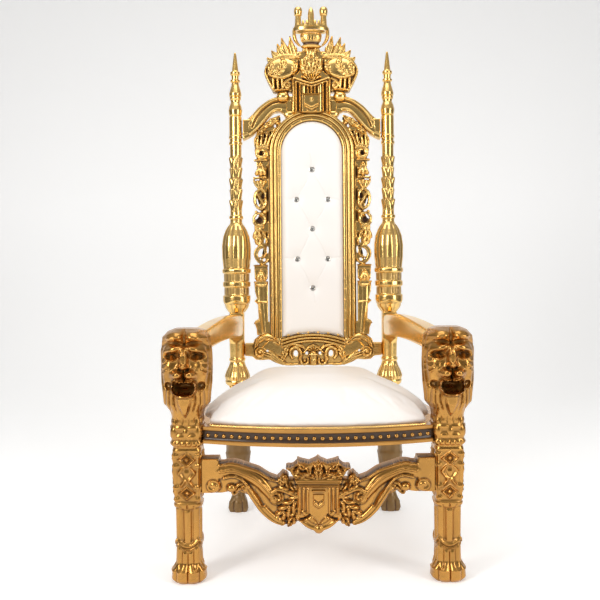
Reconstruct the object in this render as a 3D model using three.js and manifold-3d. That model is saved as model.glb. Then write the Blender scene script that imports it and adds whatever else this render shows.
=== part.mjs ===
// A carved and gilded throne with lion-head front legs, turned back posts and a tall upholstered back.
// Millimetres, +Z up, the front faces -Y, X = 0 is the plane of symmetry, the feet stand on Z = 0.
import * as THREE from 'three';
import { mergeVertices } from 'three/addons/utils/BufferGeometryUtils.js';
import Module from 'manifold-3d';

const wasm = await Module();
wasm.setup();

// ---- driving dimensions ----
const GAP = 0.4;                 // clearance between touching pieces
const FRONT_X = 366;             // front leg axis, to each side
const FRONT_Y = -318;            // front leg axis
const BACK_X = 277;              // back post axis, to each side
const BACK_Y = 310;              // back post axis at seat height
const RAKE = Math.tan(THREE.MathUtils.degToRad(2));  // lean of the back above the seat
const RAKE_Z = 480;              // height at which the lean begins
const RAIL_LOW = 393;            // seat rail underside
const RAIL_TOP = 441;            // seat rail top
const RAIL_THICK = 44;
const BOW = 60;                  // how far the front rail bows forward
const CUSHION_RISE = 109;        // crown of the seat cushion above the rail
const BLOCK = 27;                // half side of the square blocks on the back posts
const COLLAR = 45;               // half width of the front leg at the seat rail
const APRON_BLOCK = 42;          // half width of the front leg at the apron
const APRON_Y = -342;            // middle of the apron's thickness
const APRON_THICK = 44;
const ARM_LOW = 636;             // arm underside at the back post
const ARM_TOP = 716;             // arm top at the back post
const PANEL_HALF = 112;          // half width of the upholstered opening
const FRAME_WIDE = 41;           // width of the moulded frame
const FRAME_OUT = PANEL_HALF + FRAME_WIDE;
const ARCH_Z = 1305;             // centre height of the round arch
const PANEL_LOW = 632;           // foot of the moulded frame and of the upholstered opening at its sides
const PANEL_ARC = 15;            // how far the lower rail rises under the middle of the panel
const FRAME_FRONT = 288;         // front face of the moulded frame
const FRET_OUT = 215;            // outer edge of the pierced strips
const CREST_FRONT = 292;
const CREST_BACK = 332;
const CREST_TOP = 1507;          // top of the crest rail in the middle
const CARTOUCHE_FRONT = 262;
const CROWN_FOOT = 1678;
const CROWN_TOP = 1830;
const TURN = 2 * Math.PI;

// ---- finishes ----
const gold = new THREE.MeshStandardMaterial({ color: 0xd9a032, roughness: 0.32, metalness: 1 });
const oldGold = new THREE.MeshStandardMaterial({ color: 0xa87722, roughness: 0.36, metalness: 1 });
const leather = new THREE.MeshStandardMaterial({ color: 0xf6f1ea, roughness: 0.45, metalness: 0 });
const crystal = new THREE.MeshStandardMaterial({ color: 0xe8e6e2, roughness: 0.05, metalness: 0 });

// ---- solids and surfaces ----
// A closed triangle mesh from positions and an index, turned so that its faces point out.
function closedGeometry(positions, index) {
  let volume = 0;
  const at = (i) => new THREE.Vector3().fromArray(positions, 3 * i);
  for (let k = 0; k < index.length; k += 3) {
    volume += at(index[k]).dot(at(index[k + 1]).cross(at(index[k + 2])));
  }
  const turned = volume < 0 ? [...index].reverse() : index;
  const geometry = new THREE.BufferGeometry();
  geometry.setAttribute('position', new THREE.Float32BufferAttribute(positions, 3));
  geometry.setIndex(turned);
  return geometry;
}

// Rings of equal point count joined into a skin, with a fan over the first and the last ring.
function skin(rings) {
  const count = rings[0].length;
  const positions = rings.flat(2);
  const index = [];
  for (let i = 0; i + 1 < rings.length; i += 1) {
    for (let j = 0; j < count; j += 1) {
      const a = i * count + j;
      const b = i * count + ((j + 1) % count);
      index.push(a, b, b + count, a, b + count, a + count);
    }
  }
  for (const [start, turn] of [[0, true], [(rings.length - 1) * count, false]]) {
    const ring = rings[start / count];
    const middle = [0, 1, 2].map((k) => ring.reduce((sum, p) => sum + p[k], 0) / count);
    const centre = positions.length / 3;
    positions.push(...middle);
    for (let j = 0; j < count; j += 1) {
      const a = start + j;
      const b = start + ((j + 1) % count);
      index.push(centre, turn ? b : a, turn ? a : b);
    }
  }
  return closedGeometry(positions, index);
}

function toSolid(geometry) {
  const bare = geometry.clone();
  bare.deleteAttribute('normal');
  bare.deleteAttribute('uv');
  const merged = mergeVertices(bare, 1e-3);
  return new wasm.Manifold(new wasm.Mesh({
    numProp: 3,
    vertProperties: new Float32Array(merged.attributes.position.array),
    triVerts: new Uint32Array(merged.index.array),
  }));
}

function toGeometry(solid) {
  const mesh = solid.getMesh();
  const geometry = new THREE.BufferGeometry();
  geometry.setAttribute('position', new THREE.BufferAttribute(new Float32Array(mesh.vertProperties), 3));
  geometry.setIndex(new THREE.BufferAttribute(new Uint32Array(mesh.triVerts), 1));
  return geometry;
}

// Joins geometries that touch into one body.
function join(geometries) {
  return toGeometry(geometries.map(toSolid).reduce((sum, solid) => sum.add(solid)));
}

function cut(geometry, cutters) {
  return toGeometry(cutters.map(toSolid).reduce((rest, solid) => rest.subtract(solid), toSolid(geometry)));
}

// A drawing in the X-Z plane given thickness from one Y to another.
function board(shape, front, back, bevel = 0) {
  const geometry = new THREE.ExtrudeGeometry(shape, {
    depth: back - front - 2 * bevel,
    bevelEnabled: bevel > 0,
    bevelThickness: bevel,
    bevelSize: bevel,
    bevelOffset: -bevel,
    bevelSegments: 1,
  });
  geometry.rotateX(Math.PI / 2);
  geometry.translate(0, back - bevel, 0);
  return geometry;
}

// Oval openings cut through a drawing: middle across, middle up, half width, half height.
function pierce(shape, ovals) {
  const corners = 6;
  for (const [x, z, wide, high] of ovals) {
    const points = Array.from({ length: corners }, (_, k) => {
      const angle = (-TURN * k) / corners;
      return new THREE.Vector2(x + wide * Math.cos(angle), z + high * Math.sin(angle));
    });
    shape.holes.push(new THREE.Path(points));
  }
}

// A drawing's outer edge, always running anticlockwise.
function outline(points) {
  const edge = points.map(([x, z]) => new THREE.Vector2(x, z));
  return new THREE.Shape(THREE.ShapeUtils.isClockWise(edge) ? edge.reverse() : edge);
}

// Points of a smooth curve through the given ones.
function smooth(points, count) {
  return new THREE.SplineCurve(points.map(([x, z]) => new THREE.Vector2(x, z)))
    .getPoints(count).map((p) => [p.x, p.y]);
}

function mirrorPoints(points) {
  return points.map(([x, z]) => [-x, z]).reverse();
}

// The mirror image in X = 0, with its faces turned back out.
function mirrored(geometry) {
  const copy = geometry.index ? geometry.clone() : mergeVertices(geometry.clone(), 1e-3);
  copy.deleteAttribute('normal');
  copy.deleteAttribute('uv');
  copy.scale(-1, 1, 1);
  copy.setIndex([...copy.index.array].reverse());
  return copy;
}

function withMirror(geometries) {
  return [...geometries, ...geometries.map(mirrored)];
}

// The back leans: everything above the seat moves back with height.
function lean(geometry) {
  const position = geometry.attributes.position;
  for (let i = 0; i < position.count; i += 1) {
    position.setY(i, position.getY(i) + RAKE * Math.max(0, position.getZ(i) - RAKE_Z));
  }
  return geometry;
}

// Linear value at z in a list of rows whose first number is z.
function rowAt(rows, z) {
  const above = Math.max(1, rows.findIndex((row) => row[0] >= z));
  const [low, high] = [rows[above - 1], rows[above]];
  const t = THREE.MathUtils.clamp((z - low[0]) / (high[0] - low[0]), 0, 1);
  return low.map((value, k) => value + t * (high[k] - value));
}

// A carved leaf or scroll: a ridged section that swells and tapers along a curve in the X-Z plane.
function leaf(points, width, depth, y, steps = 3, sides = 4) {
  const curve = new THREE.SplineCurve(points.map(([x, z]) => new THREE.Vector2(x, z)));
  const rings = [];
  for (let i = 0; i <= steps; i += 1) {
    const t = i / steps;
    const p = curve.getPoint(t);
    const tangent = curve.getTangent(t);
    const swell = 0.28 + 0.72 * Math.sin(Math.PI * (0.12 + 0.8 * t));
    rings.push(Array.from({ length: sides }, (_, k) => {
      const angle = (TURN * k) / sides;
      const across = 0.5 * width * swell * Math.cos(angle);
      return [p.x - tangent.y * across, y + 0.5 * depth * swell * Math.sin(angle), p.y + tangent.x * across];
    }));
  }
  return skin(rings);
}

function ball(x, y, z, rx, ry, rz) {
  const geometry = new THREE.SphereGeometry(1, 6, 4);
  geometry.rotateX(Math.PI / 2);
  geometry.scale(rx, ry, rz);
  geometry.translate(x, y, z);
  return geometry;
}

// ---- front legs: one carved block each, from paw to lion's head ----
// z, half width, half depth, squareness (2 is round, larger is squarer)
const LEG_ROWS = [
  [0, 37, 40, 3], [10, 42, 45, 3], [34, 42, 45, 3], [56, 35, 37, 3], [88, 33, 34, 4],
  [205, 34, 35, 4], [222, 38, 39, 4], [262, 40, 41, 5], [372, APRON_BLOCK, 43, 5], [382, 40, 41, 4],
  [391, COLLAR, 46, 4], [441, COLLAR, 46, 4], [462, 42, 46, 3], [484, 48, 54, 3], [504, 62, 64, 3],
  [560, 68, 67, 3], [650, 68, 66, 3.4], [690, 64, 62, 3.2], [706, 52, 52, 3], [713, 34, 36, 3],
];
// across, up, spread across, spread up, height: swellings (+) and hollows (-) of the lion's face
const FACE = [
  [30, 690, 26, 16, 14], [0, 690, 7, 18, -8], [30, 661, 22, 10, 13], [32, 640, 17, 10, -19],
  [0, 635, 13, 34, 20], [0, 592, 32, 18, 30], [0, 609, 13, 8, 9], [44, 606, 15, 20, 7],
  [0, 553, 24, 11, -30], [0, 532, 22, 8, 20], [0, 503, 15, 24, 15], [44, 553, 12, 12, -7],
];
const LEG_SIDES = 14;
const TOES = 3;
const TOE_OUT = 10;              // how far the toes reach forward
const TOE_WAVE = 5;              // depth of the clefts between them
const PAW_TOP = 60;
const FLUTED = [80, 206];        // stretch of the leg with two upright flutes
const FLUTE_WIDE = 40;
const DIAMONDS = [222, 372];     // stretch carved with diamonds
const DIAMOND_HIGH = 50;
const DIAMOND_WIDE = 80;
const LEG_RELIEF = 4;            // depth of the flutes and the diamonds
const HEAD_LOW = 465;
const MANE = [500, 700];         // stretch where the locks of the mane swell at the sides
const LOCK_OUT = 3.5;
const LOCK_HIGH = 82;
const FACE_CROWDING = 0.35;      // draws a ring's points together towards the face

function faceRelief(x, z) {
  return FACE.reduce((sum, [across, up, wide, high, height]) => {
    const rise = height * Math.exp(-(((z - up) / high) ** 2));
    const near = Math.exp(-(((x - across) / wide) ** 2));
    const far = across === 0 ? 0 : Math.exp(-(((x + across) / wide) ** 2));
    return sum + rise * (near + far);
  }, 0);
}

function legRing(z, sides) {
  const [, wide, deep, square] = rowAt(LEG_ROWS, z);
  return Array.from({ length: sides }, (_, k) => {
    const turn = (TURN * k) / sides;
    const angle = turn + FACE_CROWDING * Math.sin(turn);
    const s = Math.sin(angle);
    const c = Math.cos(angle);
    const size = (Math.abs(s) ** square + Math.abs(c) ** square) ** (-1 / square);
    const front = Math.max(0, -c);
    let x = wide * s * size;
    let y = deep * c * size;
    const within = ([low, high]) => z > low && z < high;
    if (z > HEAD_LOW) y -= faceRelief(x, z) * Math.sqrt(front);
    if (within(MANE)) x += LOCK_OUT * s * Math.sin((TURN * z) / LOCK_HIGH);
    if (z < PAW_TOP) y -= front * (TOE_OUT + TOE_WAVE * Math.cos((TOES * Math.PI * x) / wide));
    if (within(FLUTED)) y += front * LEG_RELIEF * Math.cos((TURN * x) / FLUTE_WIDE);
    if (within(DIAMONDS)) {
      const up = Math.cos((TURN * (z - DIAMONDS[0])) / DIAMOND_HIGH);
      y -= front * LEG_RELIEF * up * Math.cos((TURN * x) / DIAMOND_WIDE);
    }
    return [FRONT_X + x, FRONT_Y + y, z];
  });
}

function frontLeg() {
  const lower = [0, 10, 34, 56, 84, 206, 222, 247, 272, 297, 322, 347, 372, 382, 391, 441];
  const head = [460, 484, 504, 520, 531, 542, 553, 564, 578, 592, 606, 620, 632, 641, 651, 662,
    676, 692, 705, 713];
  return skin([...lower, ...head].map((z) => legRing(z, LEG_SIDES)));
}

// ---- back posts: leg, square blocks, turned tulip and spire in one ----
// z, radius, squareness, flute depth
const POST_ROWS = [
  [0, 34, 3, 0], [14, 38, 3, 2], [40, 35, 3, 1], [66, 22, 2, 0], [203, 45, 2.4, 0],
  [385, BLOCK, 12, 0], [450, BLOCK, 12, 0], [468, 44, 2, 3], [492, 46, 2, 3], [545, 27, 2, 2],
  [612, 29, 2, 0], [630, BLOCK, 12, 0], [ARM_TOP + 4, BLOCK, 12, 0],
  [764, 46, 2, 2], [772, 49, 2, 0], [800, 44, 2, 0],
  [868, 49, 2, 0], [940, 53, 2, 4], [1006, 47, 2, 4], [1040, 31, 2, 2],
  [1062, 22, 2, 0], [1076, 26, 2, 0], [1170, 19, 2, 2], [1230, 25, 2, 3], [1290, 23, 2, 2],
  [1428, 23, 2, 0],
  [1470, 25, 2, 0], [1500, 17, 2, 0], [1510, 23, 2, 0], [1518, 16, 2, 0], [1550, 13, 2, 0], [1562, 18, 2, 0],
  [1600, 11, 2, 0], [1669, 4, 2, 0],
];
const POST_SIDES = 10;

function backPost() {
  const rings = POST_ROWS.map(([z, radius, square, flute]) => Array.from({ length: POST_SIDES }, (_, k) => {
    const angle = (TURN * (k + 0.5)) / POST_SIDES;
    const [s, c] = [Math.sin(angle), Math.cos(angle)];
    const size = (Math.abs(s) ** square + Math.abs(c) ** square) ** (-1 / square);
    const fluted = radius * Math.min(size, 1.3) + (k % 2 ? flute / 2 : -flute / 2);
    return [BACK_X + fluted * s, BACK_Y + fluted * c, z];
  }));
  return lean(skin(rings));
}

// ---- arms: plain rectangular bars with rounded edges ----
const ARM_HALF = [24, 33];       // half width at the back and at the front
const ARM_ARCH = 14;             // rise of the arm in its middle
const ARM_DROP = 26;             // fall of its top towards the lion's head
const HEAD_BACK = 68.5;          // from the leg's axis to the back of the lion's head
const EDGE_LOW = 8;
const EDGE_TOP = 12;

function arm() {
  const steps = 7;
  const [back, front] = [BACK_Y - BLOCK - GAP + RAKE * (ARM_LOW - RAKE_Z) - 1, FRONT_Y + HEAD_BACK];
  const rings = [];
  for (let i = 0; i <= steps; i += 1) {
    const t = i / steps;
    const y = back + t * (front - back);
    const x = THREE.MathUtils.lerp(BACK_X, FRONT_X - 8, t ** 1.3);
    const arch = ARM_ARCH * Math.sin(Math.PI * t);
    const top = ARM_TOP - ARM_DROP * t ** 1.4 + arch;
    const low = ARM_LOW - 4 * t + arch;
    const half = THREE.MathUtils.lerp(ARM_HALF[0], ARM_HALF[1], t);
    const right = [[half - EDGE_LOW, low], [half, low + EDGE_LOW],
      [half, top - EDGE_TOP], [half - EDGE_TOP, top]];
    rings.push([...right, ...mirrorPoints(right)].map(([across, z]) => [x + across, y, z]));
  }
  return skin(rings);
}

// ---- seat rails ----
function bowedY(x) {
  return -352 - BOW * (1 - (x / (FRONT_X - COLLAR)) ** 2);
}

function frontRail() {
  const end = FRONT_X - COLLAR - GAP;
  const steps = 10;
  const rings = [];
  const middle = 0.5 * (RAIL_LOW + RAIL_TOP);
  for (let i = 0; i <= steps; i += 1) {
    const x = -end + (2 * end * i) / steps;
    const y = bowedY(x);
    const groove = y + 6;
    const section = [[y + RAIL_THICK, RAIL_LOW], [y, RAIL_LOW], [y, RAIL_LOW + 9], [groove, RAIL_LOW + 12],
      [groove, middle + 8], [y, RAIL_TOP - 12], [y, RAIL_TOP], [y + RAIL_THICK, RAIL_TOP]];
    rings.push(section.map(([deep, z]) => [x, deep, z]));
  }
  return skin(rings);
}

function sideRail() {
  const [front, back] = [FRONT_Y + 46 + 1, BACK_Y - BLOCK - 1];
  const [outFront, outBack] = [FRONT_X + 28, BACK_X + 24];
  const shape = new THREE.Shape([[outFront, front], [outBack, back], [outBack - RAIL_THICK, back],
    [outFront - RAIL_THICK, front]].map(([x, y]) => new THREE.Vector2(x, y)));
  const geometry = new THREE.ExtrudeGeometry(shape, { depth: RAIL_TOP - RAIL_LOW, bevelEnabled: false });
  geometry.translate(0, 0, RAIL_LOW);
  return geometry;
}

function backRail() {
  const end = BACK_X - BLOCK * 1.02 - GAP;
  const geometry = new THREE.BoxGeometry(2 * end, 36, RAIL_TOP - RAIL_LOW);
  geometry.translate(0, BACK_Y, 0.5 * (RAIL_LOW + RAIL_TOP));
  return geometry;
}

// ---- seat cushion: a crowned form in the seat's plan, notched round the front legs ----
function seatCushion() {
  const inside = FRONT_X - COLLAR - 10;
  const bow = [0, 0.25, 0.5, 0.75].map((t) => [t * inside, bowedY(t * inside) + 8]);
  const half = [...bow, [inside - 8, bowedY(inside) + 12], [inside, -330], [inside, FRONT_Y + 58],
    [inside + 26, FRONT_Y + 84], [inside + 24, -170], [290, 60], [262, 232], [226, 266],
    [120, 272], [0, 272]];
  const plan = [...half, ...mirrorPoints(half.slice(1, -1))];
  const levels = [[0, 5], [14, 0], [38, 9], [60, 32], [80, 72], [96, 130], [CUSHION_RISE, 240]];
  return skin(levels.map(([rise, inset]) => plan.map(([x, y]) => {
    const [sx, sy] = [1 - inset / 330, 1 - inset / 345];
    return [x * sx, -66 + (y + 66) * sy, RAIL_TOP + GAP + rise];
  })));
}

// ---- front apron: two curved arms, shield, basket and leaves carved from one board ----
// Upright ribs beside the middle of a shield.
function ribs(places, low, high, front, back) {
  return places.map((x) => new THREE.BoxGeometry(7, back - front, high - low)
    .translate(x, 0.5 * (front + back), 0.5 * (low + high)));
}

function frontApron() {
  const end = FRONT_X - APRON_BLOCK - 1;
  const [front, back] = [APRON_Y - APRON_THICK / 2, APRON_Y + APRON_THICK / 2];
  const top = smooth([[274, 340], [236, 343], [200, 334], [165, 322], [138, 304], [106, 292], [50, 290]], 8);
  const low = smooth([[60, 176], [96, 167], [124, 178], [144, 194], [162, 220], [186, 258], [206, 284],
    [232, 298], [254, 290], [272, 266]], 10);
  const arm = board(outline([[end, 354], [274, 354], ...top, ...low, [end, 258]]), front, back);
  const shieldEdge = [[-58, 292], [-58, 190], [-40, 178], [0, 144], [40, 178], [58, 190], [58, 292]];
  const shield = board(outline(shieldEdge), front - 14, back, 5);
  const leafy = [[60, 286], [62, 300], [88, 326], [70, 330], [54, 345], [26, 339], [0, 350]];
  const basket = board(outline([...leafy, ...mirrorPoints(leafy.slice(0, -1))]), front - 18, back);
  const side = [
    leaf([[66, 250], [92, 276], [128, 268], [138, 246]], 22, 26, front + 2),
    leaf([[64, 214], [92, 206], [118, 214], [136, 236]], 24, 26, front),
    leaf([[60, 192], [90, 178], [122, 192]], 26, 30, front + 2),
    leaf([[72, 300], [96, 312], [116, 296], [96, 282]], 20, 26, front + 4),
    leaf([[214, 270], [240, 276], [262, 300], [300, 306]], 20, 26, front + 2),
    ball(290, front + 4, 276, 19, 14, 18),
    ball(240, front + 10, 272, 15, 16, 13),
  ];
  const knob = ball(0, front - 8, 158, 17, 16, 15);
  const fruit = [-40, 0, 40].map((x) => ball(x, front - 16, 322, 22, 12, 16));
  const fluting = ribs([-46, -30, 30, 46], 196, 276, front - 18, front - 8);
  return join([...withMirror([arm, ...side]), shield, basket, knob, ...fruit, ...fluting]);
}

// ---- the back ----
function archPath(radius, low, arcSteps) {
  const arc = Array.from({ length: arcSteps + 1 }, (_, k) => {
    const angle = Math.PI * (k / arcSteps);
    return [radius * Math.cos(angle), ARCH_Z + radius * Math.sin(angle)];
  });
  return [[radius, low], ...arc, [-radius, low]];
}

// The low arch under the panel, from one side to the other.
function archFoot(half) {
  return [-1, -0.6, -0.2, 0.2, 0.6, 1].map((t) => [t * half, PANEL_LOW + PANEL_ARC * (1 - t * t)]);
}

// across from the inner edge, depth from the front
const FRAME_SECTION = [
  [0, 42], [0, 10], [6, 2], [12, 5], [18, 0], [26, 0], [30, 5], [FRAME_WIDE, 3], [FRAME_WIDE, 42],
];

function backFrame() {
  const paths = FRAME_SECTION.map(([across]) => archPath(PANEL_HALF + across, PANEL_LOW + GAP, 12));
  const rings = paths[0].map((_, i) => FRAME_SECTION.map(([, depth], k) => {
    const [x, z] = paths[k][i];
    return [x, FRAME_FRONT + depth, z];
  }));
  return lean(skin(rings));
}

const BUTTON_SPOTS = [[0, 1238], [-57, 1130], [57, 1130], [0, 1024], [-55, 915], [55, 915], [0, 810]];
const PAD_FRONT = 276;
const DIMPLE_DEEP = 12;
const DIMPLE_HALF = 30;
const PAD_EDGE = PANEL_HALF - 1.5;  // the pad and the rear panel stand clear of the frame
const PAD_BACK = 316;
const REAR_BACK = 328;
const BUTTON_HALF = 11;
const BUTTON_THICK = 8;

// A turned disc whose axis runs front to back, from one Y to another.
function disc([x, z], front, back, frontRadius, backRadius, segments) {
  const geometry = new THREE.CylinderGeometry(backRadius, frontRadius, back - front, segments);
  geometry.translate(x, 0.5 * (front + back), z);
  return geometry;
}

function panelShape() {
  const foot = archFoot(PAD_EDGE).map(([x, z]) => [x, z + 1]);
  return outline([...foot, ...archPath(PAD_EDGE, PANEL_LOW, 10).slice(1, -1)]);
}

function backPad() {
  const pad = board(panelShape(), PAD_FRONT, PAD_BACK, 12);
  const dimples = BUTTON_SPOTS.map((spot) => disc(spot, PAD_FRONT - 2, PAD_FRONT + DIMPLE_DEEP,
    DIMPLE_HALF, BUTTON_HALF + 3, 6));
  return lean(cut(pad, dimples));
}

function button(spot) {
  const back = PAD_FRONT + DIMPLE_DEEP - GAP;
  return lean(disc(spot, back - BUTTON_THICK, back, 0.65 * BUTTON_HALF, BUTTON_HALF, 6));
}

function rearPanel() {
  return lean(board(panelShape(), PAD_BACK + 1, REAR_BACK));
}

// Pierced strip beside the frame, with the leafy corner under the crest rail.
function fret() {
  const inner = FRAME_OUT + 1;
  const hold = archPath(inner, PANEL_LOW, 14).filter(([x, z]) => x > 96 && z >= ARCH_Z);
  const [low, high, lobe] = [712, 1330, 105];
  const wave = [];
  for (let z = high; z >= low; z -= lobe / 2) {
    wave.push([FRET_OUT - 6 + 5 * Math.cos((TURN * (z - low)) / lobe), z]);
  }
  const rim = [[114, 1440], [150, 1428], [172, 1400], [196, 1376], [FRET_OUT, 1345]];
  const toe = [[FRET_OUT - 8, 682], [196, 641], [inner + 12, PANEL_LOW + 1], [inner, PANEL_LOW + 1]];
  const shape = outline([...hold, ...rim, ...wave, ...toe]);
  const holes = [[158, 1386, 9, 9], [186, 1303, 10, 12], [188, 1090, 11, 22], [188, 1020, 9, 12],
    [190, 935, 8, 14]];
  pierce(shape, holes);
  const slit = [[inner + 4, 700], [inner + 4, 900], [inner + 11, 900], [inner + 11, 700]];
  shape.holes.push(new THREE.Path(slit.map(([x, z]) => new THREE.Vector2(x, z))));
  const strip = board(shape, 298, 322);
  const carving = [
    leaf([[200, 1348], [168, 1368], [140, 1408]], 18, 22, 296),
    leaf([[206, 1262], [186, 1278], [168, 1262]], 20, 22, 298),
    leaf([[188, 1232], [186, 1200], [190, 1164]], 30, 22, 298),
    leaf([[204, 1140], [186, 1128], [172, 1144]], 20, 22, 298),
    leaf([[190, 1000], [192, 980], [186, 958]], 28, 20, 298),
    ball(191, 298, 870, 18, 12, 26),
  ];
  return lean(join([strip, ...carving]));
}

function lowerRail() {
  const end = BACK_X - 28 - 1.6;
  const foot = archFoot(PANEL_HALF - 1).filter(([x]) => x > 0);
  const arc = [...foot, [166, PANEL_LOW], [196, 640], [FRET_OUT, 628]];
  const under = smooth([[222, 556], [186, 548], [140, 540], [60, 531], [0, 530]], 6);
  const half = [...arc, [end, 622], [end, 568], ...under];
  const shape = outline([...half.slice(0, -1), ...mirrorPoints(half)]);
  pierce(shape, [-66, 66].map((x) => [x, 592, 13, 12]));
  pierce(shape, [-26, 26].map((x) => [x, 600, 11, 14]));
  const rail = board(shape, 294, 326);
  const side = [
    ball(190, 290, 586, 27, 13, 25),
    leaf([[216, 604], [186, 619], [150, 606], [118, 578]], 22, 24, 291),
    leaf([[196, 562], [150, 572], [110, 550]], 20, 22, 292),
    leaf([[100, 560], [86, 590], [104, 612]], 14, 18, 293),
  ];
  return lean(join([rail, ...withMirror(side), ball(0, 292, 580, 20, 12, 30)]));
}

function crestRail() {
  const end = BACK_X - 26 - 1;
  const shoulder = smooth([[234, 1386], [232, 1424], [194, 1464], [150, 1494], [104, CREST_TOP]], 8);
  const belly = smooth([[116, 1446], [150, 1438], [172, 1412], [194, 1386], [218, 1368]], 6);
  const over = archPath(FRAME_OUT + 1, PANEL_LOW, 14).filter(([x, z]) => Math.abs(x) < 110 && z > ARCH_Z);
  const right = [...belly, [end, 1348], [end, 1372], ...shoulder];
  const shape = outline([...right, ...mirrorPoints(right), ...over.reverse()]);
  return lean(board(shape, CREST_FRONT, CREST_BACK));
}

function cartouche() {
  const low = FRAME_FRONT - 1;
  const shieldEdge = [[-66, 1443], [66, 1443], [66, 1562], [0, 1540], [-66, 1562]];
  const shield = board(outline(shieldEdge), CARTOUCHE_FRONT, low, 4);
  const small = board(outline([[-26, 1462], [0, 1450], [26, 1462], [26, 1512], [-26, 1512]]),
    CARTOUCHE_FRONT - 7, CARTOUCHE_FRONT + 6, 2);
  const stem = [[68, CREST_TOP + 1.5], [70, 1570], [48, 1610], [34, CROWN_FOOT - 2]];
  const trunk = board(outline([...stem, ...mirrorPoints(stem)]), CARTOUCHE_FRONT + 4, 322);
  const lobe = smooth([[56, 1560], [104, 1538], [152, 1540], [170, 1580], [168, 1622], [134, 1654],
    [84, 1656], [46, 1640]], 12);
  const side = [
    board(outline(lobe), CARTOUCHE_FRONT + 8, 316),
    leaf([[74, 1650], [92, 1676], [96, 1704]], 20, 26, 290),
    leaf([[106, 1650], [118, 1680], [124, 1712]], 18, 26, 290),
    leaf([[134, 1640], [148, 1660], [152, 1680]], 16, 24, 290, 2),
    leaf([[70, 1610], [110, 1632], [152, 1606]], 20, 22, CARTOUCHE_FRONT + 10),
    leaf([[78, 1580], [112, 1572], [156, 1592]], 22, 24, CARTOUCHE_FRONT + 10),
    leaf([[146, 1552], [156, 1574], [160, 1604]], 16, 30, CARTOUCHE_FRONT + 14),
    ball(100, 280, 1520, 28, 11, 22),
  ];
  const plume = [[-22, 1622], [22, 1622], [0, 1598], [0, 1646]]
    .map(([x, z]) => ball(x, CARTOUCHE_FRONT + 6, z, 20, 12, 26));
  const fan = [-34, 0, 34].map((x) => leaf([[0, 1548], [0.6 * x, 1562], [x, 1584 - Math.abs(x) / 3]], 24, 14,
    CARTOUCHE_FRONT + 4));
  const fluting = ribs([-56, -40, 40, 56], 1450, 1540, CARTOUCHE_FRONT - 4, CARTOUCHE_FRONT + 6);
  return lean(join([trunk, shield, small, ...withMirror(side), ...plume, ...fan, ...fluting]));
}

// An open crown, deeper than it is thick: bowl, ring on side struts, two knobbed posts and a middle cone.
function crown() {
  const turned = (points, segments) => {
    const geometry = new THREE.LatheGeometry(points.map(([r, z]) => new THREE.Vector2(r, z)), segments);
    geometry.rotateX(Math.PI / 2);
    return geometry;
  };
  const place = (geometry, x, y) => geometry.translate(x, y, 0);
  const middle = 292;
  const bowl = turned([[0, CROWN_FOOT], [28, CROWN_FOOT], [34, 1688], [30, 1696], [52, 1716],
    [60, 1738], [52, 1740], [0, 1736]], 8);
  const ring = turned([[52, 1756], [66, 1758], [66, 1770], [52, 1770], [52, 1756]], 10);
  for (const geometry of [bowl, ring]) {
    geometry.scale(1, 0.55, 1);
    place(geometry, 0, middle);
  }
  const post = (foot, top) => turned([[0, foot], [10, foot], [12, 1776], [8, top - 32], [14, top - 18],
    [13, top - 6], [0, top]], 5);
  const posts = [-53, 53].map((x) => place(post(1726, CROWN_TOP - 2), x, middle));
  const cone = place(turned([[0, 1764], [14, 1764], [12, 1790], [0, 1819]], 5), 0, middle - 32);
  const struts = [-58, 58].map((x) => place(new THREE.BoxGeometry(9, 22, 50), x, middle)
    .translate(0, 0, 1740));
  const bars = [-30, 30].map((x) => ball(x, middle - 28, 1774, 15, 9, 12));
  return lean(join([bowl, ring, ...posts, cone, ...struts, ...bars, ball(0, middle, 1738, 16, 14, 16)]));
}

// ---- the whole chair ----
const throne = new THREE.Group();

function add(name, geometry, material) {
  const mesh = new THREE.Mesh(geometry, material);
  mesh.name = name;
  throne.add(mesh);
}

function addPair(name, geometry, material) {
  add(`${name}_left`, mirrored(geometry), material);
  add(`${name}_right`, geometry, material);
}

addPair('front_leg', frontLeg(), oldGold);
addPair('arm', arm(), gold);
addPair('back_post', backPost(), gold);
add('seat_rail_front', frontRail(), oldGold);
addPair('seat_rail', sideRail(), oldGold);
add('seat_rail_back', backRail(), oldGold);
add('front_apron', frontApron(), oldGold);
add('seat_cushion', seatCushion(), leather);
add('lower_rail', lowerRail(), gold);
add('back_frame', backFrame(), gold);
addPair('fret', fret(), gold);
add('crest_rail', crestRail(), gold);
add('cartouche', cartouche(), gold);
add('crown', crown(), gold);
add('back_pad', backPad(), leather);
add('rear_panel', rearPanel(), leather);
BUTTON_SPOTS.forEach((spot, k) => add(`button_${k + 1}`, button(spot), crystal));

// The origin is the middle of the base of the whole object's box.
const box = new THREE.Box3().setFromObject(throne);
throne.position.set(0, -0.5 * (box.min.y + box.max.y), -box.min.z);
throne.updateMatrixWorld(true);

export default throne;
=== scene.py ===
"""A carved and gilded throne, dressed piece by piece in the order in which it is put together.
The shapes are drawn in millimetres on the maker's drawing, whose Y = 310 is the axis of the back posts."""
import math

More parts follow.
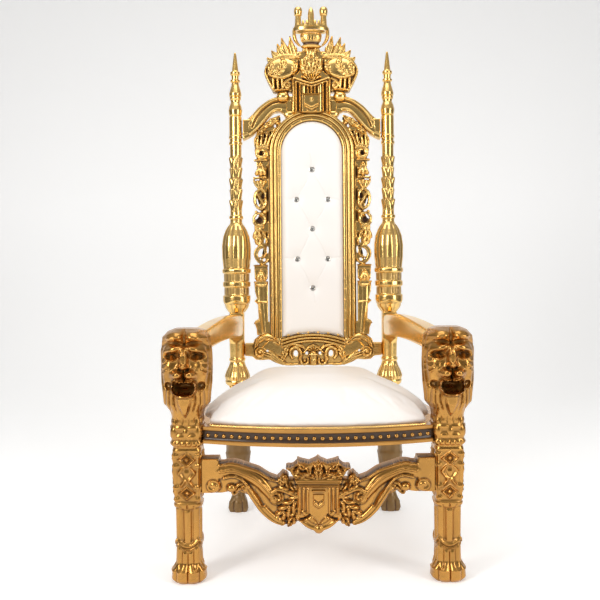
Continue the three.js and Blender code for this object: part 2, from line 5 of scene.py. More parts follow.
import bpy
import numpy as np
from mathutils import Matrix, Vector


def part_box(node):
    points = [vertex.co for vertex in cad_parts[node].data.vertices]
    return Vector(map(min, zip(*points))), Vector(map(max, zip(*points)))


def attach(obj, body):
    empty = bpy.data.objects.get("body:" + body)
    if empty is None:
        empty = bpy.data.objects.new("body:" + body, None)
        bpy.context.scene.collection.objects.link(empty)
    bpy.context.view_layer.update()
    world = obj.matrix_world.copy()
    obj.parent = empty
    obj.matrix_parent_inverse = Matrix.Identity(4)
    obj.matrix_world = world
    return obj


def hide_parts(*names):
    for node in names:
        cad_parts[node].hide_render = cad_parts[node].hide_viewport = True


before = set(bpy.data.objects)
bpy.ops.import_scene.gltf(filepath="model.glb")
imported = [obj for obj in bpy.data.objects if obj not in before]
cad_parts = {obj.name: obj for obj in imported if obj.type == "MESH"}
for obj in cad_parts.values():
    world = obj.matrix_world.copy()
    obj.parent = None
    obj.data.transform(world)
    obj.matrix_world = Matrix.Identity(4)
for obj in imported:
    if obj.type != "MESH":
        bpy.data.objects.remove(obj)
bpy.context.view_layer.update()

# ---------------------------------------------------------------------------------------------------------------
# Camera: eye level a little above the arms, well back and slightly to the left of the chair's middle.
# It looks two degrees down and is held a touch off level.
CAMERA_AT = (-0.047, -2.440, 0.864)
CAMERA_DOWN = math.radians(2.0)
CAMERA_ROLL = 0.0079
SENSOR = 36.0
LENS = SENSOR * 763 / 600

camera = bpy.data.objects.new("camera", bpy.data.cameras.new("camera"))
camera.data.lens = LENS
camera.data.sensor_width = SENSOR
camera.data.clip_end = 50
camera.matrix_world = (
    Matrix.Translation(CAMERA_AT)
    @ Matrix.Rotation(math.pi / 2 - CAMERA_DOWN, 4, "X")
    @ Matrix.Rotation(-CAMERA_ROLL, 4, "Z")
)
bpy.context.scene.collection.objects.link(camera)
bpy.context.scene.camera = camera

# ---------------------------------------------------------------------------------------------------------------
# Front legs: one block of mahogany each, carved from the paw up to a lion's head with a parted mane.
# The carver leaves flutes, a lozenge panel, a bead ring and a leafed collar between the two, and the gilder
# lays brass-coloured leaf over it; the hollows are painted dark brown as painted shade.
# Painted shade: the leaf of the lower parts is a darker copy of the upper leaf.
GILT_LOW_SHADED_HEX = "C58F44"
# Dark brown painted into the hollows of the lower parts as painted shade.
PAINTED_SHADE_LOW_HEX = "241002"
BACK_Y = 310
BACK_LEAN = math.tan(math.radians(2))
LEAN_FROM = 480


def linear(code):
    """An sRGB hex colour as linear red, green, blue and alpha."""
    value = np.array([int(code[i : i + 2], 16) for i in (0, 2, 4)]) / 255
    return (*np.where(value <= 0.04045, value / 12.92, ((value + 0.055) / 1.055) ** 2.4), 1.0)


def node(tree, kind, settings=(), **links):
    """Adds one shader node, with its settings, and its inputs from values or from other nodes' outputs."""
    new = tree.nodes.new(kind)
    for key, value in dict(settings).items():
        setattr(new, key, value)
    for key, value in links.items():
        key = key.replace("_", " ")
        socket = new.inputs[int(key[1:]) if key[0] == "i" and key[1:].isdigit() else key]
        if isinstance(value, bpy.types.NodeSocket):
            tree.links.new(value, socket)
        else:
            socket.default_value = value
    return new


def ramp(tree, factor, stops):
    """A colour ramp through (position, hex colour) stops."""
    new = node(tree, "ShaderNodeValToRGB", Fac=factor)
    new.color_ramp.elements[0].position, new.color_ramp.elements[1].position = stops[0][0], stops[-1][0]
    for place, _ in stops[1:-1]:
        new.color_ramp.elements.new(place)
    for element, (_, code) in zip(new.color_ramp.elements, stops):
        element.color = linear(code)
    return new.outputs["Color"]


def gilding(name, leaf_hex, painted_shade_hex, roughness):
    """Burnished metal leaf over carved wood: a bright metal, painted warmer, browner, less metallic and duller in the
    hollows (the piece's own 'hollow' attribute) as painted shade, with leaf laps about 80 mm wide, brush marks about
    2 mm apart and a faint ripple of the gesso under it."""
    material = bpy.data.materials.new(name)
    material.use_nodes = True
    tree = material.node_tree
    shader = tree.nodes["Principled BSDF"]
    place = node(tree, "ShaderNodeTexCoord").outputs["Object"]
    lap = node(tree, "ShaderNodeTexNoise", Vector=place, Scale=12.0, Detail=3.0).outputs["Fac"]
    brush = node(tree, "ShaderNodeTexNoise", Vector=place, Scale=420.0, Detail=2.0).outputs["Fac"]
    ripple = node(tree, "ShaderNodeTexNoise", Vector=place, Scale=70.0, Detail=2.0).outputs["Fac"]
    hollow = node(tree, "ShaderNodeAttribute", {"attribute_name": "hollow"}).outputs["Fac"]
    toned = node(tree, "ShaderNodeMix", {"data_type": "RGBA"})
    toned.inputs["A"].default_value = linear(leaf_hex)
    toned.inputs["B"].default_value = [0.80 * c for c in linear(leaf_hex)[:3]] + [1]
    tree.links.new(node(tree, "ShaderNodeMapRange", Value=lap, From_Min=0.35, From_Max=0.7).outputs[0], toned.inputs["Factor"])
    # Painted shade: where the 'hollow' attribute is high the leaf turns dark brown, less metallic and duller.
    shaded_leaf = node(tree, "ShaderNodeMix", {"data_type": "RGBA"})
    tree.links.new(toned.outputs["Result"], shaded_leaf.inputs["A"])
    shaded_leaf.inputs["B"].default_value = linear(painted_shade_hex)
    tree.links.new(hollow, shaded_leaf.inputs["Factor"])
    tree.links.new(shaded_leaf.outputs["Result"], shader.inputs["Base Color"])
    metal = node(tree, "ShaderNodeMath", {"operation": "MULTIPLY_ADD"}, i0=hollow, i1=-0.75, i2=1.0)
    tree.links.new(metal.outputs[0], shader.inputs["Metallic"])
    shader.inputs["Coat Weight"].default_value = 0.35
    shader.inputs["Coat Roughness"].default_value = 0.14
    rough = node(tree, "ShaderNodeMath", {"operation": "MULTIPLY_ADD"}, i0=lap, i1=0.10, i2=roughness - 0.05)
    duller = node(tree, "ShaderNodeMath", {"operation": "MULTIPLY_ADD"}, i0=hollow, i1=0.25, i2=rough.outputs[0])
    tree.links.new(duller.outputs[0], shader.inputs["Roughness"])
    first = node(tree, "ShaderNodeBump", Strength=0.10, Distance=0.004, Height=ripple)
    second = node(tree, "ShaderNodeBump", Strength=0.05, Distance=0.0006, Height=brush, Normal=first.outputs[0])
    tree.links.new(second.outputs[0], shader.inputs["Normal"])
    return material


gilt_low_shaded = gilding("brass_leaf_painted_darker", GILT_LOW_SHADED_HEX, PAINTED_SHADE_LOW_HEX, 0.27)

# The drawing's own Y against the frame's, in metres
rail_low, rail_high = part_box("seat_rail_back")
DRAWING_Y = 0.5 * (rail_low.y + rail_high.y) * 1000 - BACK_Y


def grid_faces(rows, columns, closed=True):
    """Quads between the neighbours of a grid of points; closed joins the last column to the first."""
    row = np.arange(rows - 1)[:, None] * columns
    column = np.arange(columns if closed else columns - 1)[None, :]
    beside = (column + 1) % columns
    return np.stack([row + column, row + beside, row + beside + columns, row + column + columns], -1).reshape(-1, 4)


def capped(points, hollow=None):
    """A part from rings of points, rows by columns by xyz: the rings joined by quads, with a fan of triangles
    over the first and the last. Turned inside out if its volume comes out negative."""
    rows, columns = points.shape[:2]
    flat = points.reshape(-1, 3)
    ends = np.stack([points[0].mean(0), points[-1].mean(0)])
    first, last = len(flat), len(flat) + 1
    column = np.arange(columns)
    beside = (column + 1) % columns
    top = (rows - 1) * columns
    fans = [np.stack([beside, column, np.full(columns, first), np.full(columns, -1)], -1),
            np.stack([top + column, top + beside, np.full(columns, last), np.full(columns, -1)], -1)]
    faces = np.concatenate([grid_faces(rows, columns), *fans])
    every = np.concatenate([flat, ends])
    a, b, c = (every[faces[:, k]] for k in range(3))
    turned = np.einsum("ij,ij->i", a, np.cross(b, c)).sum()
    d = every[np.where(faces[:, 3] < 0, faces[:, 0], faces[:, 3])]
    turned += np.einsum("ij,ij->i", a, np.cross(c, d)).sum()
    if turned < 0:
        faces = flipped(faces)
    shade = np.zeros(len(flat)) if hollow is None else np.clip(hollow, 0, 1).reshape(-1)
    return every, faces, np.concatenate([shade, [0, 0]])


def flipped(faces):
    """The same faces seen from the other side."""
    quad = faces[:, 3] >= 0
    turned = faces[:, ::-1].copy()
    turned[~quad] = faces[~quad][:, [2, 1, 0, 3]]
    return turned


def mirrored(part):
    """A part's mirror image in X = 0."""
    points, faces, hollow = part
    return points * [-1, 1, 1], flipped(faces), hollow


def leaned(points):
    """The back leans two degrees: above the seat, Y grows with height."""
    moved = points.copy()
    moved[..., 1] += BACK_LEAN * np.maximum(0, points[..., 2] - LEAN_FROM)
    return moved


def assemble(name, parts, material, crease=38):
    """One object at the origin from (points, faces, hollow) parts drawn in millimetres."""
    points = np.concatenate([part[0] for part in parts])
    starts = np.cumsum([0] + [len(part[0]) for part in parts[:-1]])
    faces = np.concatenate([np.where(part[1] < 0, -1, part[1] + start) for part, start in zip(parts, starts)])
    kept = faces >= 0
    sizes = kept.sum(1)
    mesh = bpy.data.meshes.new(name)
    mesh.vertices.add(len(points))
    mesh.vertices.foreach_set("co", ((points + [0, DRAWING_Y, 0]) / 1000).astype(np.float32).ravel())
    mesh.loops.add(int(sizes.sum()))
    mesh.loops.foreach_set("vertex_index", faces[kept].astype(np.int32))
    mesh.polygons.add(len(faces))
    mesh.polygons.foreach_set("loop_start", (np.cumsum(sizes) - sizes).astype(np.int32))
    mesh.polygons.foreach_set("use_smooth", np.ones(len(faces), bool))
    mesh.update(calc_edges=True)
    mesh.attributes.new("hollow", "FLOAT", "POINT").data.foreach_set(
        "value", np.concatenate([part[2] for part in parts]).astype(np.float32))
    mesh.set_sharp_from_angle(angle=math.radians(crease))
    mesh.materials.append(material)
    piece = bpy.data.objects.new(name, mesh)
    bpy.context.scene.collection.objects.link(piece)
    return piece


def blur(values, times, around=False):
    """Each value's mean with its neighbours in the grid, a number of times over."""
    for _ in range(times):
        edge = np.concatenate([values[:, -1:], values, values[:, :1]], 1) if around else np.pad(values, ((0, 0), (1, 1)), "edge")
        values = (edge[:, :-2] + edge[:, 1:-1] + edge[:, 2:]) / 3
        edge = np.pad(values, ((1, 1), (0, 0)), "edge")
        values = (edge[:-2] + edge[1:-1] + edge[2:]) / 3
    return values


def mound(x, z, at, half, height, power=2.0, turn=0.0):
    """A swelling (or, with a negative height, a hollow) centred at a point: height times e to the minus r to
    the power, r being the distance measured in half widths, turned by an angle in degrees."""
    c, s = math.cos(math.radians(turn)), math.sin(math.radians(turn))
    u = (x - at[0]) * c + (z - at[1]) * s
    v = (z - at[1]) * c - (x - at[0]) * s
    return height * np.exp(-(((u / half[0]) ** 2 + (v / half[1]) ** 2) ** (power / 2)))


def nearest(x, z, points):
    """Distance to a chain of points, how far along it the nearest place is (0 to 1), and on which side."""
    points = np.asarray(points, float)
    lengths = np.hypot(*(points[1:] - points[:-1]).T)
    reached = np.concatenate([[0], np.cumsum(lengths)]) / lengths.sum()
    best, along, side = np.full(x.shape, 1e9), np.zeros(x.shape), np.zeros(x.shape)
    for (ax, az), (bx, bz), length, t0, t1 in zip(points[:-1], points[1:], lengths, reached[:-1], reached[1:]):
        ux, uz = (bx - ax) / length, (bz - az) / length
        t = np.clip((x - ax) * ux + (z - az) * uz, 0, length)
        dx, dz = x - ax - t * ux, z - az - t * uz
        distance = np.hypot(dx, dz)
        closer = distance < best
        best = np.where(closer, distance, best)
        along = np.where(closer, t0 + (t1 - t0) * t / length, along)
        side = np.where(closer, np.where(dx * -uz + dz * ux >= 0, 1.0, -1.0), side)
    return best, along, side


def curve(points, count=18):
    """A smooth curve through the given points: a Catmull-Rom spline."""
    p = np.asarray(points, float)
    p = np.concatenate([[2 * p[0] - p[1]], p, [2 * p[-1] - p[-2]]])
    t = np.linspace(0, len(points) - 1, count)
    k = np.minimum(t.astype(int), len(points) - 2)
    f = (t - k)[:, None]
    a, b, c, d = p[k], p[k + 1], p[k + 2], p[k + 3]
    return 0.5 * (2 * b + (c - a) * f + (2 * a - 5 * b + 4 * c - d) * f**2 + (3 * b - a - 3 * c + d) * f**3)


def ridge(x, z, points, width, height):
    """A soft ridge (or, negative, a groove) along a smooth curve through points; width may taper in a list."""
    distance, along, _ = nearest(x, z, curve(points))
    wide = np.interp(along, np.linspace(0, 1, np.size(width)), np.atleast_1d(width)) if np.size(width) > 1 else width
    return height * np.exp(-((distance / wide) ** 2))


LEG_X, LEG_Y = 366, -318
# z, half width, half depth, squareness of the plain block
LEG_ROWS = np.array([
    [0, 37, 40, 3], [10, 42, 45, 3], [34, 42, 45, 3], [56, 35, 37, 3], [88, 33, 34, 4], [205, 34, 35, 4],
    [222, 38, 39, 4], [262, 40, 41, 5], [372, 42, 43, 5], [382, 40, 41, 4], [391, 45, 46, 4], [441, 45, 46, 4],
    [462, 42, 46, 3], [484, 48, 54, 3], [504, 62, 64, 3], [560, 68, 67, 3], [650, 68, 66, 3.4],
    [690, 64, 62, 3.2], [706, 52, 52, 3], [713, 34, 36, 3]])
LEG_COLUMNS = 196


def lion_face(x, z):
    """How far the lion's face stands out of the block at x across and z up: mounds for the hair rolls, brows,
    nose, muzzle and cheeks, hollows for the eyes, nostrils and mouth, ridges for the lips and lids."""
    a = np.abs(x)
    out = mound(a, z, (31, 694), (27, 14), 17, 3.4, -4)
    out += ridge(a, z, [(0, 714), (1, 690), (0, 672)], 4.5, -9)
    out += ridge(a, z, [(2, 668), (22, 676), (44, 676), (66, 664)], 5, -8)
    out += ridge(a, z, [(8, 700), (26, 704), (50, 698)], 3, 2)
    out += ridge(a, z, [(10, 686), (28, 687), (52, 684)], 2.4, -2.5)
    out += mound(a, z, (27, 660), (21, 9.5), 17, 3.2, -14)
    out += ridge(a, z, [(0, 672), (0, 648)], 3.2, -5)
    out += mound(a, z, (37, 640), (18, 8.5), -22, 3.2, -8)
    out += mound(a, z, (36, 637), (7, 6), 13, 3)
    out += ridge(a, z, [(20, 640), (34, 647), (52, 641)], 2, 4)
    out += ridge(a, z, [(20, 634), (34, 628), (50, 632)], 2.5, 5)
    out += mound(a, z, (0, 634), (13, 32), 21, 4.5)
    out += mound(a, z, (0, 611), (17, 8), 12, 3.5)
    out += mound(a, z, (10, 602), (7, 4.5), -15, 2.6, 25)
    out += mound(a, z, (17, 590), (18, 13.5), 30, 3.2, -12)
    out += ridge(a, z, [(0, 600), (0, 576)], 2.6, -11)
    out += mound(a, z, (47, 607), (16, 20), 9, 2.6, 10)
    out += ridge(a, z, [(0, 571), (12, 568), (26, 572), (34, 563)], 2.6, 8)
    out += mound(a, z, (0, 553), (26, 12.5), -36, 5)
    out += mound(a, z, (0, 546), (11, 6), 15, 3)
    out += ridge(a, z, [(29, 570), (31, 556), (28, 542)], 3.2, 18)
    out += mound(a, z, (45, 557), (11, 9.5), -22, 3.4)
    out += ridge(a, z, [(0, 532), (18, 533), (29, 543), (34, 556)], 3.6, 13)
    out += mound(a, z, (0, 534), (24, 7), 15, 3)
    for k in range(3):
        out += ridge(a, z, [(50, 630 - 15 * k), (57, 622 - 15 * k), (64, 627 - 15 * k)], 2.6, 5)
    half = np.interp(z, [470, 490, 510, 528], [2, 11, 18, 22])
    out += 15 * np.exp(-((a / np.maximum(half, 1)) ** 6)) * np.interp(z, [466, 480, 524, 532], [0, 1, 1, 0])
    share = np.clip((a - half) / np.maximum(66 - half, 1), 0, 1)
    locks = np.abs(np.sin(math.pi * 3.5 * share + 0.018 * (z - 470)))
    out += 6 * (locks**0.7 - 0.6) * np.interp(z, [474, 492, 540, 558], [0, 1, 1, 0]) * (share > 0)
    return out


def leg_block(x, y, z, wide, deep):
    """The carving of the leg below the head: how far it stands out at a place on the block's face. Across
    each face runs w from -1 to 1, so the pattern turns the corner with the block."""
    front = np.abs(y) / deep > np.abs(x) / wide
    w = np.clip(np.where(front, x / wide, y / deep), -1, 1)
    a = np.abs(w)
    inside = np.clip((0.93 - a) / 0.12, 0, 1)
    out = np.zeros_like(x)
    # flutes of the neck
    neck = np.interp(z, [446, 453, 478, 492], [0, 1, 1, 0])
    out += 4.5 * neck * (np.abs(np.cos(math.pi * 2.5 * w)) - 0.5)
    # collar: crossed leaves under an arched line
    collar = np.interp(z, [400, 404, 443, 448], [0, 1, 1, 0])
    leaves = np.maximum.reduce([
        mound(a, z, (0.42, 438), (0.34, 6.5), 5, 3, 0), mound(a, z, (0.0, 424), (0.17, 12), 5, 3),
        mound(a, z, (0.78, 424), (0.20, 17), 6, 3.5), mound(a, z, (0.36, 413), (0.30, 7), 5, 3)])
    out += collar * (leaves - 2)
    # ring of long beads
    bead = np.interp(z, [384, 389, 396, 400], [0, 1, 1, 0])
    out += bead * (5 * np.sqrt(np.abs(np.sin(math.pi * 3 * (w + 1)))) - 2)
    # panel: lozenges with a boss, zigzag ribbons between them, beads up both sides
    panel = np.interp(z, [224, 230, 366, 372], [0, 1, 1, 0]) * inside
    lozenges = np.zeros_like(x)
    for middle, size in ((348, 21), (254, 20)):
        reach = np.abs(z - middle) / size + a / 0.62
        lozenges += 7 * np.exp(-(((reach - 0.82) / 0.20) ** 2)) + 7 * np.exp(-((reach / 0.34) ** 2))
        lozenges -= 3 * np.exp(-(((reach - 0.5) / 0.14) ** 2))
    zigzag = 0.34 + 0.20 * (2 / math.pi) * np.arcsin(np.sin((z - 300) * 2 * math.pi / 44))
    ribbon = 7 * np.exp(-(((a - zigzag) / 0.12) ** 2)) * np.interp(z, [268, 276, 326, 334], [0, 1, 1, 0])
    shield = 3 * np.exp(-((a / 0.2) ** 4)) * np.interp(z, [278, 290, 312, 324], [0, 1, 1, 0])
    edge = 4 * np.exp(-(((a - 0.80) / 0.05) ** 2))
    rosettes = sum(mound(a, z, (0.70, middle), (0.13, 6), 5, 3) for middle in (236, 270, 330, 360))
    out += panel * (lozenges + ribbon + shield + rosettes + edge - 3.5)
    # pointed band with a slot and two dots
    low = 206 + 9 * a
    band = np.clip((z - low) / 2.5, 0, 1) * np.clip((224 - z) / 2.5, 0, 1)
    out += band * (3.5 - mound(a, z, (0, 214), (0.07, 7), 5, 4) - mound(a, z, (0.5, 215), (0.09, 3), 4, 3))
    # hanging flutes closed by a double ring
    ring = 104 + 26 * (a**2)
    flute = np.clip((z - ring - 4) / 6, 0, 1) * np.clip((low - 1 - z) / 4, 0, 1)
    out += flute * (2.2 - 6.5 * np.exp(-(((a - 0.42) / 0.15) ** 2)) + 2.0 * np.exp(-((a / 0.16) ** 2)))
    out += 6.5 * np.exp(-(((z - ring) / 5.2) ** 4)) * inside + 4 * np.exp(-(((z - ring + 11) / 2.6) ** 2)) * inside
    # ankle: tapered fans down to the toes
    ankle = np.clip((ring - 16 - z) / 5, 0, 1) * np.interp(z, [36, 46], [0, 1])
    out += ankle * 5 * (np.abs(np.sin(math.pi * 2 * w)) ** 0.8 - 0.45)
    # toes
    toes = np.interp(z, [0, 8, 34, 50], [0.5, 1, 1, 0])
    knuckle = 1 + 0.35 * np.exp(-(((z - 36) / 6) ** 2)) + 0.2 * np.exp(-(((z - 12) / 8) ** 2))
    out += toes * (8 * np.abs(np.sin(math.pi * (x / wide) * 1.35)) ** 0.55 * knuckle) * (y < 0)
    return out


def front_leg():
    """The leg as rings of points: each ring is a superellipse whose size and squareness come from LEG_ROWS,
    pushed forward by the lion's face above the neck and outward by the block's carving below it."""
    z = np.concatenate([np.linspace(0, 452, 172), np.linspace(454, 713, 165)])[:, None]
    wide, deep, square = (np.interp(z, LEG_ROWS[:, 0], LEG_ROWS[:, k]) for k in (1, 2, 3))
    turn = np.linspace(0, 2 * math.pi, LEG_COLUMNS, endpoint=False)[None, :]
    angle = turn + 0.35 * np.sin(turn)
    s, c = np.sin(angle), np.cos(angle)
    size = (np.abs(s) ** square + np.abs(c) ** square) ** (-1 / square)
    x, y = wide * s * size, deep * c * size
    front = np.maximum(0, -c)
    head = np.clip((z - 462) / 8, 0, 1)
    face = head * lion_face(x, z + 0 * x) * np.sqrt(front)
    # locks of the mane down the front half of each side, and a plain back half
    side = np.abs(s) ** 2 * np.interp(z, [486, 510, 690, 702], [0, 1, 1, 0])
    locks = np.sin(2 * math.pi * ((y + 8) / 27 + 0.30 * np.sin((z - 500) / 24)))
    mane = side * np.where(y < 16, 3.2 * locks, 0) * np.clip((16 - y) / 6, 0, 1)
    groove = -5 * side * np.exp(-(((y - 20) / 3.5) ** 2))
    block = (1 - head) * leg_block(x, y, z + 0 * x, wide, deep)
    out = np.sign(s) * np.minimum(np.abs(s) * size, 1)
    lift = mane + groove
    scale = 1 + block / np.hypot(wide, deep) * 1.25
    x, y = x * scale + out * lift, y * scale - face
    relief = block + lift + face
    # Painted shade: darker where the carving lies below its blurred surroundings.
    hollow = np.clip((blur(relief, 7, around=True) - relief) / 7, 0, 1)
    points = np.stack([LEG_X + x, LEG_Y + y, z + 0 * x], -1)
    return capped(points, hollow)


leg = front_leg()
for side, part in (("left", mirrored(leg)), ("right", leg)):
    piece = assemble(f"lion_leg_{side}", [part], gilt_low_shaded)
    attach(piece, "root")
    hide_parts(f"front_leg_{side}")

# ---------------------------------------------------------------------------------------------------------------
# Arms: plain bars of square timber with eased edges, tenoned into the post and into the back of the lion's head.
# They rise a little in the middle and splay outwards, and their leaf is the upper copy, painted brighter than the lower
# one as painted light.
# Painted light: the leaf of the upper parts is a brighter copy of the lower leaf.
GILT_UPPER_LIT_HEX = "FCD07C"
# Dark brown painted into the hollows of the upper parts as painted shade.
PAINTED_SHADE_HEX = "4A2606"
BACK_X, BLOCK = 277, 27
gilt = gilding("brass_leaf_painted_lighter", GILT_UPPER_LIT_HEX, PAINTED_SHADE_HEX, 0.24)


def arm():
    """Rings of a rounded rectangle carried from the post (t = 0) to the lion's head (t = 1): the bar's middle
    moves outwards as t to the power 1.3 and both edges rise by a half sine."""
    t = np.linspace(0, 1, 40)[:, None]
    y = 287 + t * (-249 - 287)
    x = BACK_X + (LEG_X - 8 - BACK_X) * t**1.3
    arch = 14 * np.sin(math.pi * t)
    top, low = 716 - 26 * t**1.4 + arch, 636 - 4 * t + arch
    half = 24 + 9 * t
    around = np.linspace(0, 2 * math.pi, 64, endpoint=False)[None, :]
    s, c = np.sin(around), np.cos(around)
    size = (np.abs(s) ** 5 + np.abs(c) ** 5) ** (-1 / 5)
    return capped(np.stack([x + half * s * size, y + 0 * s, (top + low) / 2 + (top - low) / 2 * c * size], -1))


part = arm()
for side, bar in (("left", mirrored(part)), ("right", part)):
    piece = assemble(f"arm_bar_{side}", [bar], gilt)
    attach(piece, "root")
    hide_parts(f"arm_{side}")

# ---------------------------------------------------------------------------------------------------------------
# Front seat rail: a bowed rail with a dark band between two bright lips and a row of round brass nails.
# The side and back rails behind it are plain planks and keep their own shape.
RAIL_LOW, RAIL_TOP, RAIL_THICK, BOW = 393, 441, 44, 60
RAIL_END = 366 - 45 - 0.4
NAIL_SPACING, NAIL_HALF = 23.0, 6.2


def bowed(x):
    """Y of the rail's front face: a parabola standing BOW forward in the middle."""
    return -352 - BOW * (1 - (x / 321) ** 2)


def front_rail():
    """The rail's moulded section carried across the bow, one ring for each place across."""
    section = np.array([[RAIL_THICK, 393], [1, 393], [0, 395], [0, 401], [2, 403], [4, 404], [6, 408], [6, 424],
                        [4, 429], [1, 431], [0, 433], [0, 440], [1, 441], [RAIL_THICK, 441]])
    x = np.linspace(-RAIL_END, RAIL_END, 90)[:, None]
    # Painted shade: the recessed band between the lips is painted almost fully dark brown, the lips' edges a little.
    hollow = np.interp(np.arange(len(section)), [0, 4, 5, 8, 9, 13], [0, 0.2, 0.95, 0.95, 0.2, 0])
    return capped(np.stack([x + 0 * section[:, 0], bowed(x) + section[:, 0], 0 * x + section[:, 1]], -1),
                  np.tile(hollow, (90, 1)))


def domes(centres, normals, half, rise, rings=5, columns=14):
    """Round nail heads: each a low dome of rings standing along its normal from its centre."""
    lift = np.linspace(0, math.pi / 2, rings)[:, None]
    turn = np.linspace(0, 2 * math.pi, columns, endpoint=False)[None, :]
    parts = []
    for centre, normal in zip(centres, normals):
        across = np.cross(normal, [0, 0, 1])
        across /= np.linalg.norm(across)
        up = np.cross(across, normal)
        radius = half * np.cos(lift * 0.97)
        ring = (np.asarray(centre) + radius[..., None] * (np.cos(turn)[..., None] * across + np.sin(turn)[..., None] * up)
                + (rise * np.sin(lift) - 0.6)[..., None] * np.asarray(normal))
        parts.append(capped(np.concatenate([ring[:1] - np.asarray(normal), ring])))
    return parts


nail_x = np.arange(-13.5, 14) * NAIL_SPACING * 0.985
slope = 2 * BOW * nail_x / 321**2
nail_normals = np.stack([slope, -np.ones_like(slope), 0 * slope], -1)
nail_normals /= np.linalg.norm(nail_normals, axis=1)[:, None]
nails = domes(np.stack([nail_x, bowed(nail_x) + 6, 0 * nail_x + 416], -1), nail_normals, NAIL_HALF, 5.0)
piece = assemble("front_rail_nailed", [front_rail(), *nails], gilt_low_shaded)
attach(piece, "root")
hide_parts("seat_rail_front")

for rail in ("seat_rail_left", "seat_rail_right", "seat_rail_back"):
    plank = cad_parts[rail]
    plank.data.materials.clear()
    plank.data.materials.append(gilt_low_shaded)

# ---------------------------------------------------------------------------------------------------------------
# Apron: a pierced board between the legs with two moulded C-arms, scrolls and fluted leaves, a shield in the
# middle and a basket of leaves on top. It is sawn from one plank and carved from the front; its back is flat.
APRON_FRONT, APRON_BACK = -364, -320
PIT_DEEP = 9


def strap(points, widths, height, base=0.0, groove=0.0):
    """A rounded moulding along a smooth curve: within its half width the height follows a half circle; a groove
    sinks its middle."""
    path = curve(points, 6 * len(points))

    def mark(x, z):
        distance, along, _ = nearest(x, z, path)
        half = np.interp(along, np.linspace(0, 1, len(widths)), widths)
        share = np.clip(distance / half, 0, 1)
        return half - distance, base + height * np.sqrt(1 - share**2) - groove * np.exp(-((share / 0.35) ** 2))

    return mark


def acanthus(points, width, height, lobes=4, base=0.0, sweep=0.55):
    """A carved leaf along a curve: its half width swells and tapers and is notched into lobes that lean towards
    the tip; each lobe is a bulge, and a vein is cut down the middle and between the lobes."""
    path = curve(points, 6 * len(points))

    def mark(x, z):
        distance, along, _ = nearest(x, z, path)
        body = np.sin(math.pi * np.clip(0.16 + 0.80 * along, 0, 1)) ** 0.7
        lobe = np.abs(np.sin(math.pi * (lobes * along - sweep * distance / width * lobes * 0.5)))
        half = width * body * (0.72 + 0.28 * lobe) + 0.5
        share = np.clip(distance / half, 0, 1)
        relief = height * (0.45 * np.sqrt(1 - share**2) + 0.55 * lobe**0.7 * (1 - share**3) * body)
        relief -= 0.4 * height * np.exp(-((distance / (0.13 * width)) ** 2))
        return half - distance, base + np.maximum(relief, 0)

    return mark


def volute(centre, radius, height, turns=1.6, start=0.0, hand=1, base=0.0):
    """A rolled scroll: a ridge winding inwards, with a round eye in the middle."""

    def mark(x, z):
        dx, dz = x - centre[0], z - centre[1]
        r = np.hypot(dx, dz)
        phase = turns * r / radius - hand * np.arctan2(dz, dx) / (2 * math.pi) - start
        wave = 0.5 + 0.5 * np.cos(2 * math.pi * phase)
        rim = np.sqrt(np.clip(1 - (r / radius) ** 4, 0, 1))
        eye = np.exp(-((r / (0.26 * radius)) ** 4))
        return radius - r, base + height * rim * np.maximum(0.30 + 0.70 * wave**0.8, eye)

    return mark


def shell(centre, radius, ribs, towards, spread, height, base=0.0):
    """A scallop: ribs fanning from a centre, within an angle either side of a direction (degrees)."""
    toward, half = math.radians(towards), math.radians(spread)

    def mark(x, z):
        dx, dz = x - centre[0], z - centre[1]
        r = np.hypot(dx, dz)
        angle = np.angle(np.exp(1j * (np.arctan2(dz, dx) - toward)))
        rib = np.abs(np.cos(math.pi * ribs * angle / (2 * half)))
        rim = radius * (0.92 + 0.08 * rib)
        reach = np.minimum(rim - r, (half - np.abs(angle)) * np.maximum(r, 1))
        fall = np.clip((rim - r) / (0.2 * radius), 0, 1) ** 0.5
        return reach, base + height * (0.35 + 0.65 * rib**0.8) * fall * np.clip(r / radius + 0.35, 0, 1)

    return mark


def plate(corners, height, edge=3.0, base=0.0):
    """A flat raised field with a quarter-round edge, bounded by straight lines between corners."""
    ring = np.asarray([*corners, corners[0]], float)

    def mark(x, z):
        distance, _, _ = nearest(x, z, ring)
        inside = np.zeros(x.shape, bool)
        for (ax, az), (bx, bz) in zip(ring[:-1], ring[1:]):
            crosses = (az > z) != (bz > z)
            inside ^= crosses & (x < (bx - ax) * (z - az) / (bz - az + 1e-12) + ax)
        reach = np.where(inside, distance, -distance)
        lift = 1 - np.clip(reach / edge, 0, 1)
        return reach, base + height * np.sqrt(1 - lift**2)

    return mark


def boss(centre, half, height, base=0.0):
    """A round or oval knob."""

    def mark(x, z):
        r = np.hypot((x - centre[0]) / half[0], (z - centre[1]) / half[1])
        return (1 - r) * min(half), base + height * np.sqrt(np.clip(1 - r**2, 0, 1))

    return mark


def lines(paths, width, depth):
    """Grooves (or, with a negative depth, ridges) scored along smooth curves."""

    def cut(x, z):
        return sum(ridge(x, z, points, width, -depth) for points in paths)

    return cut


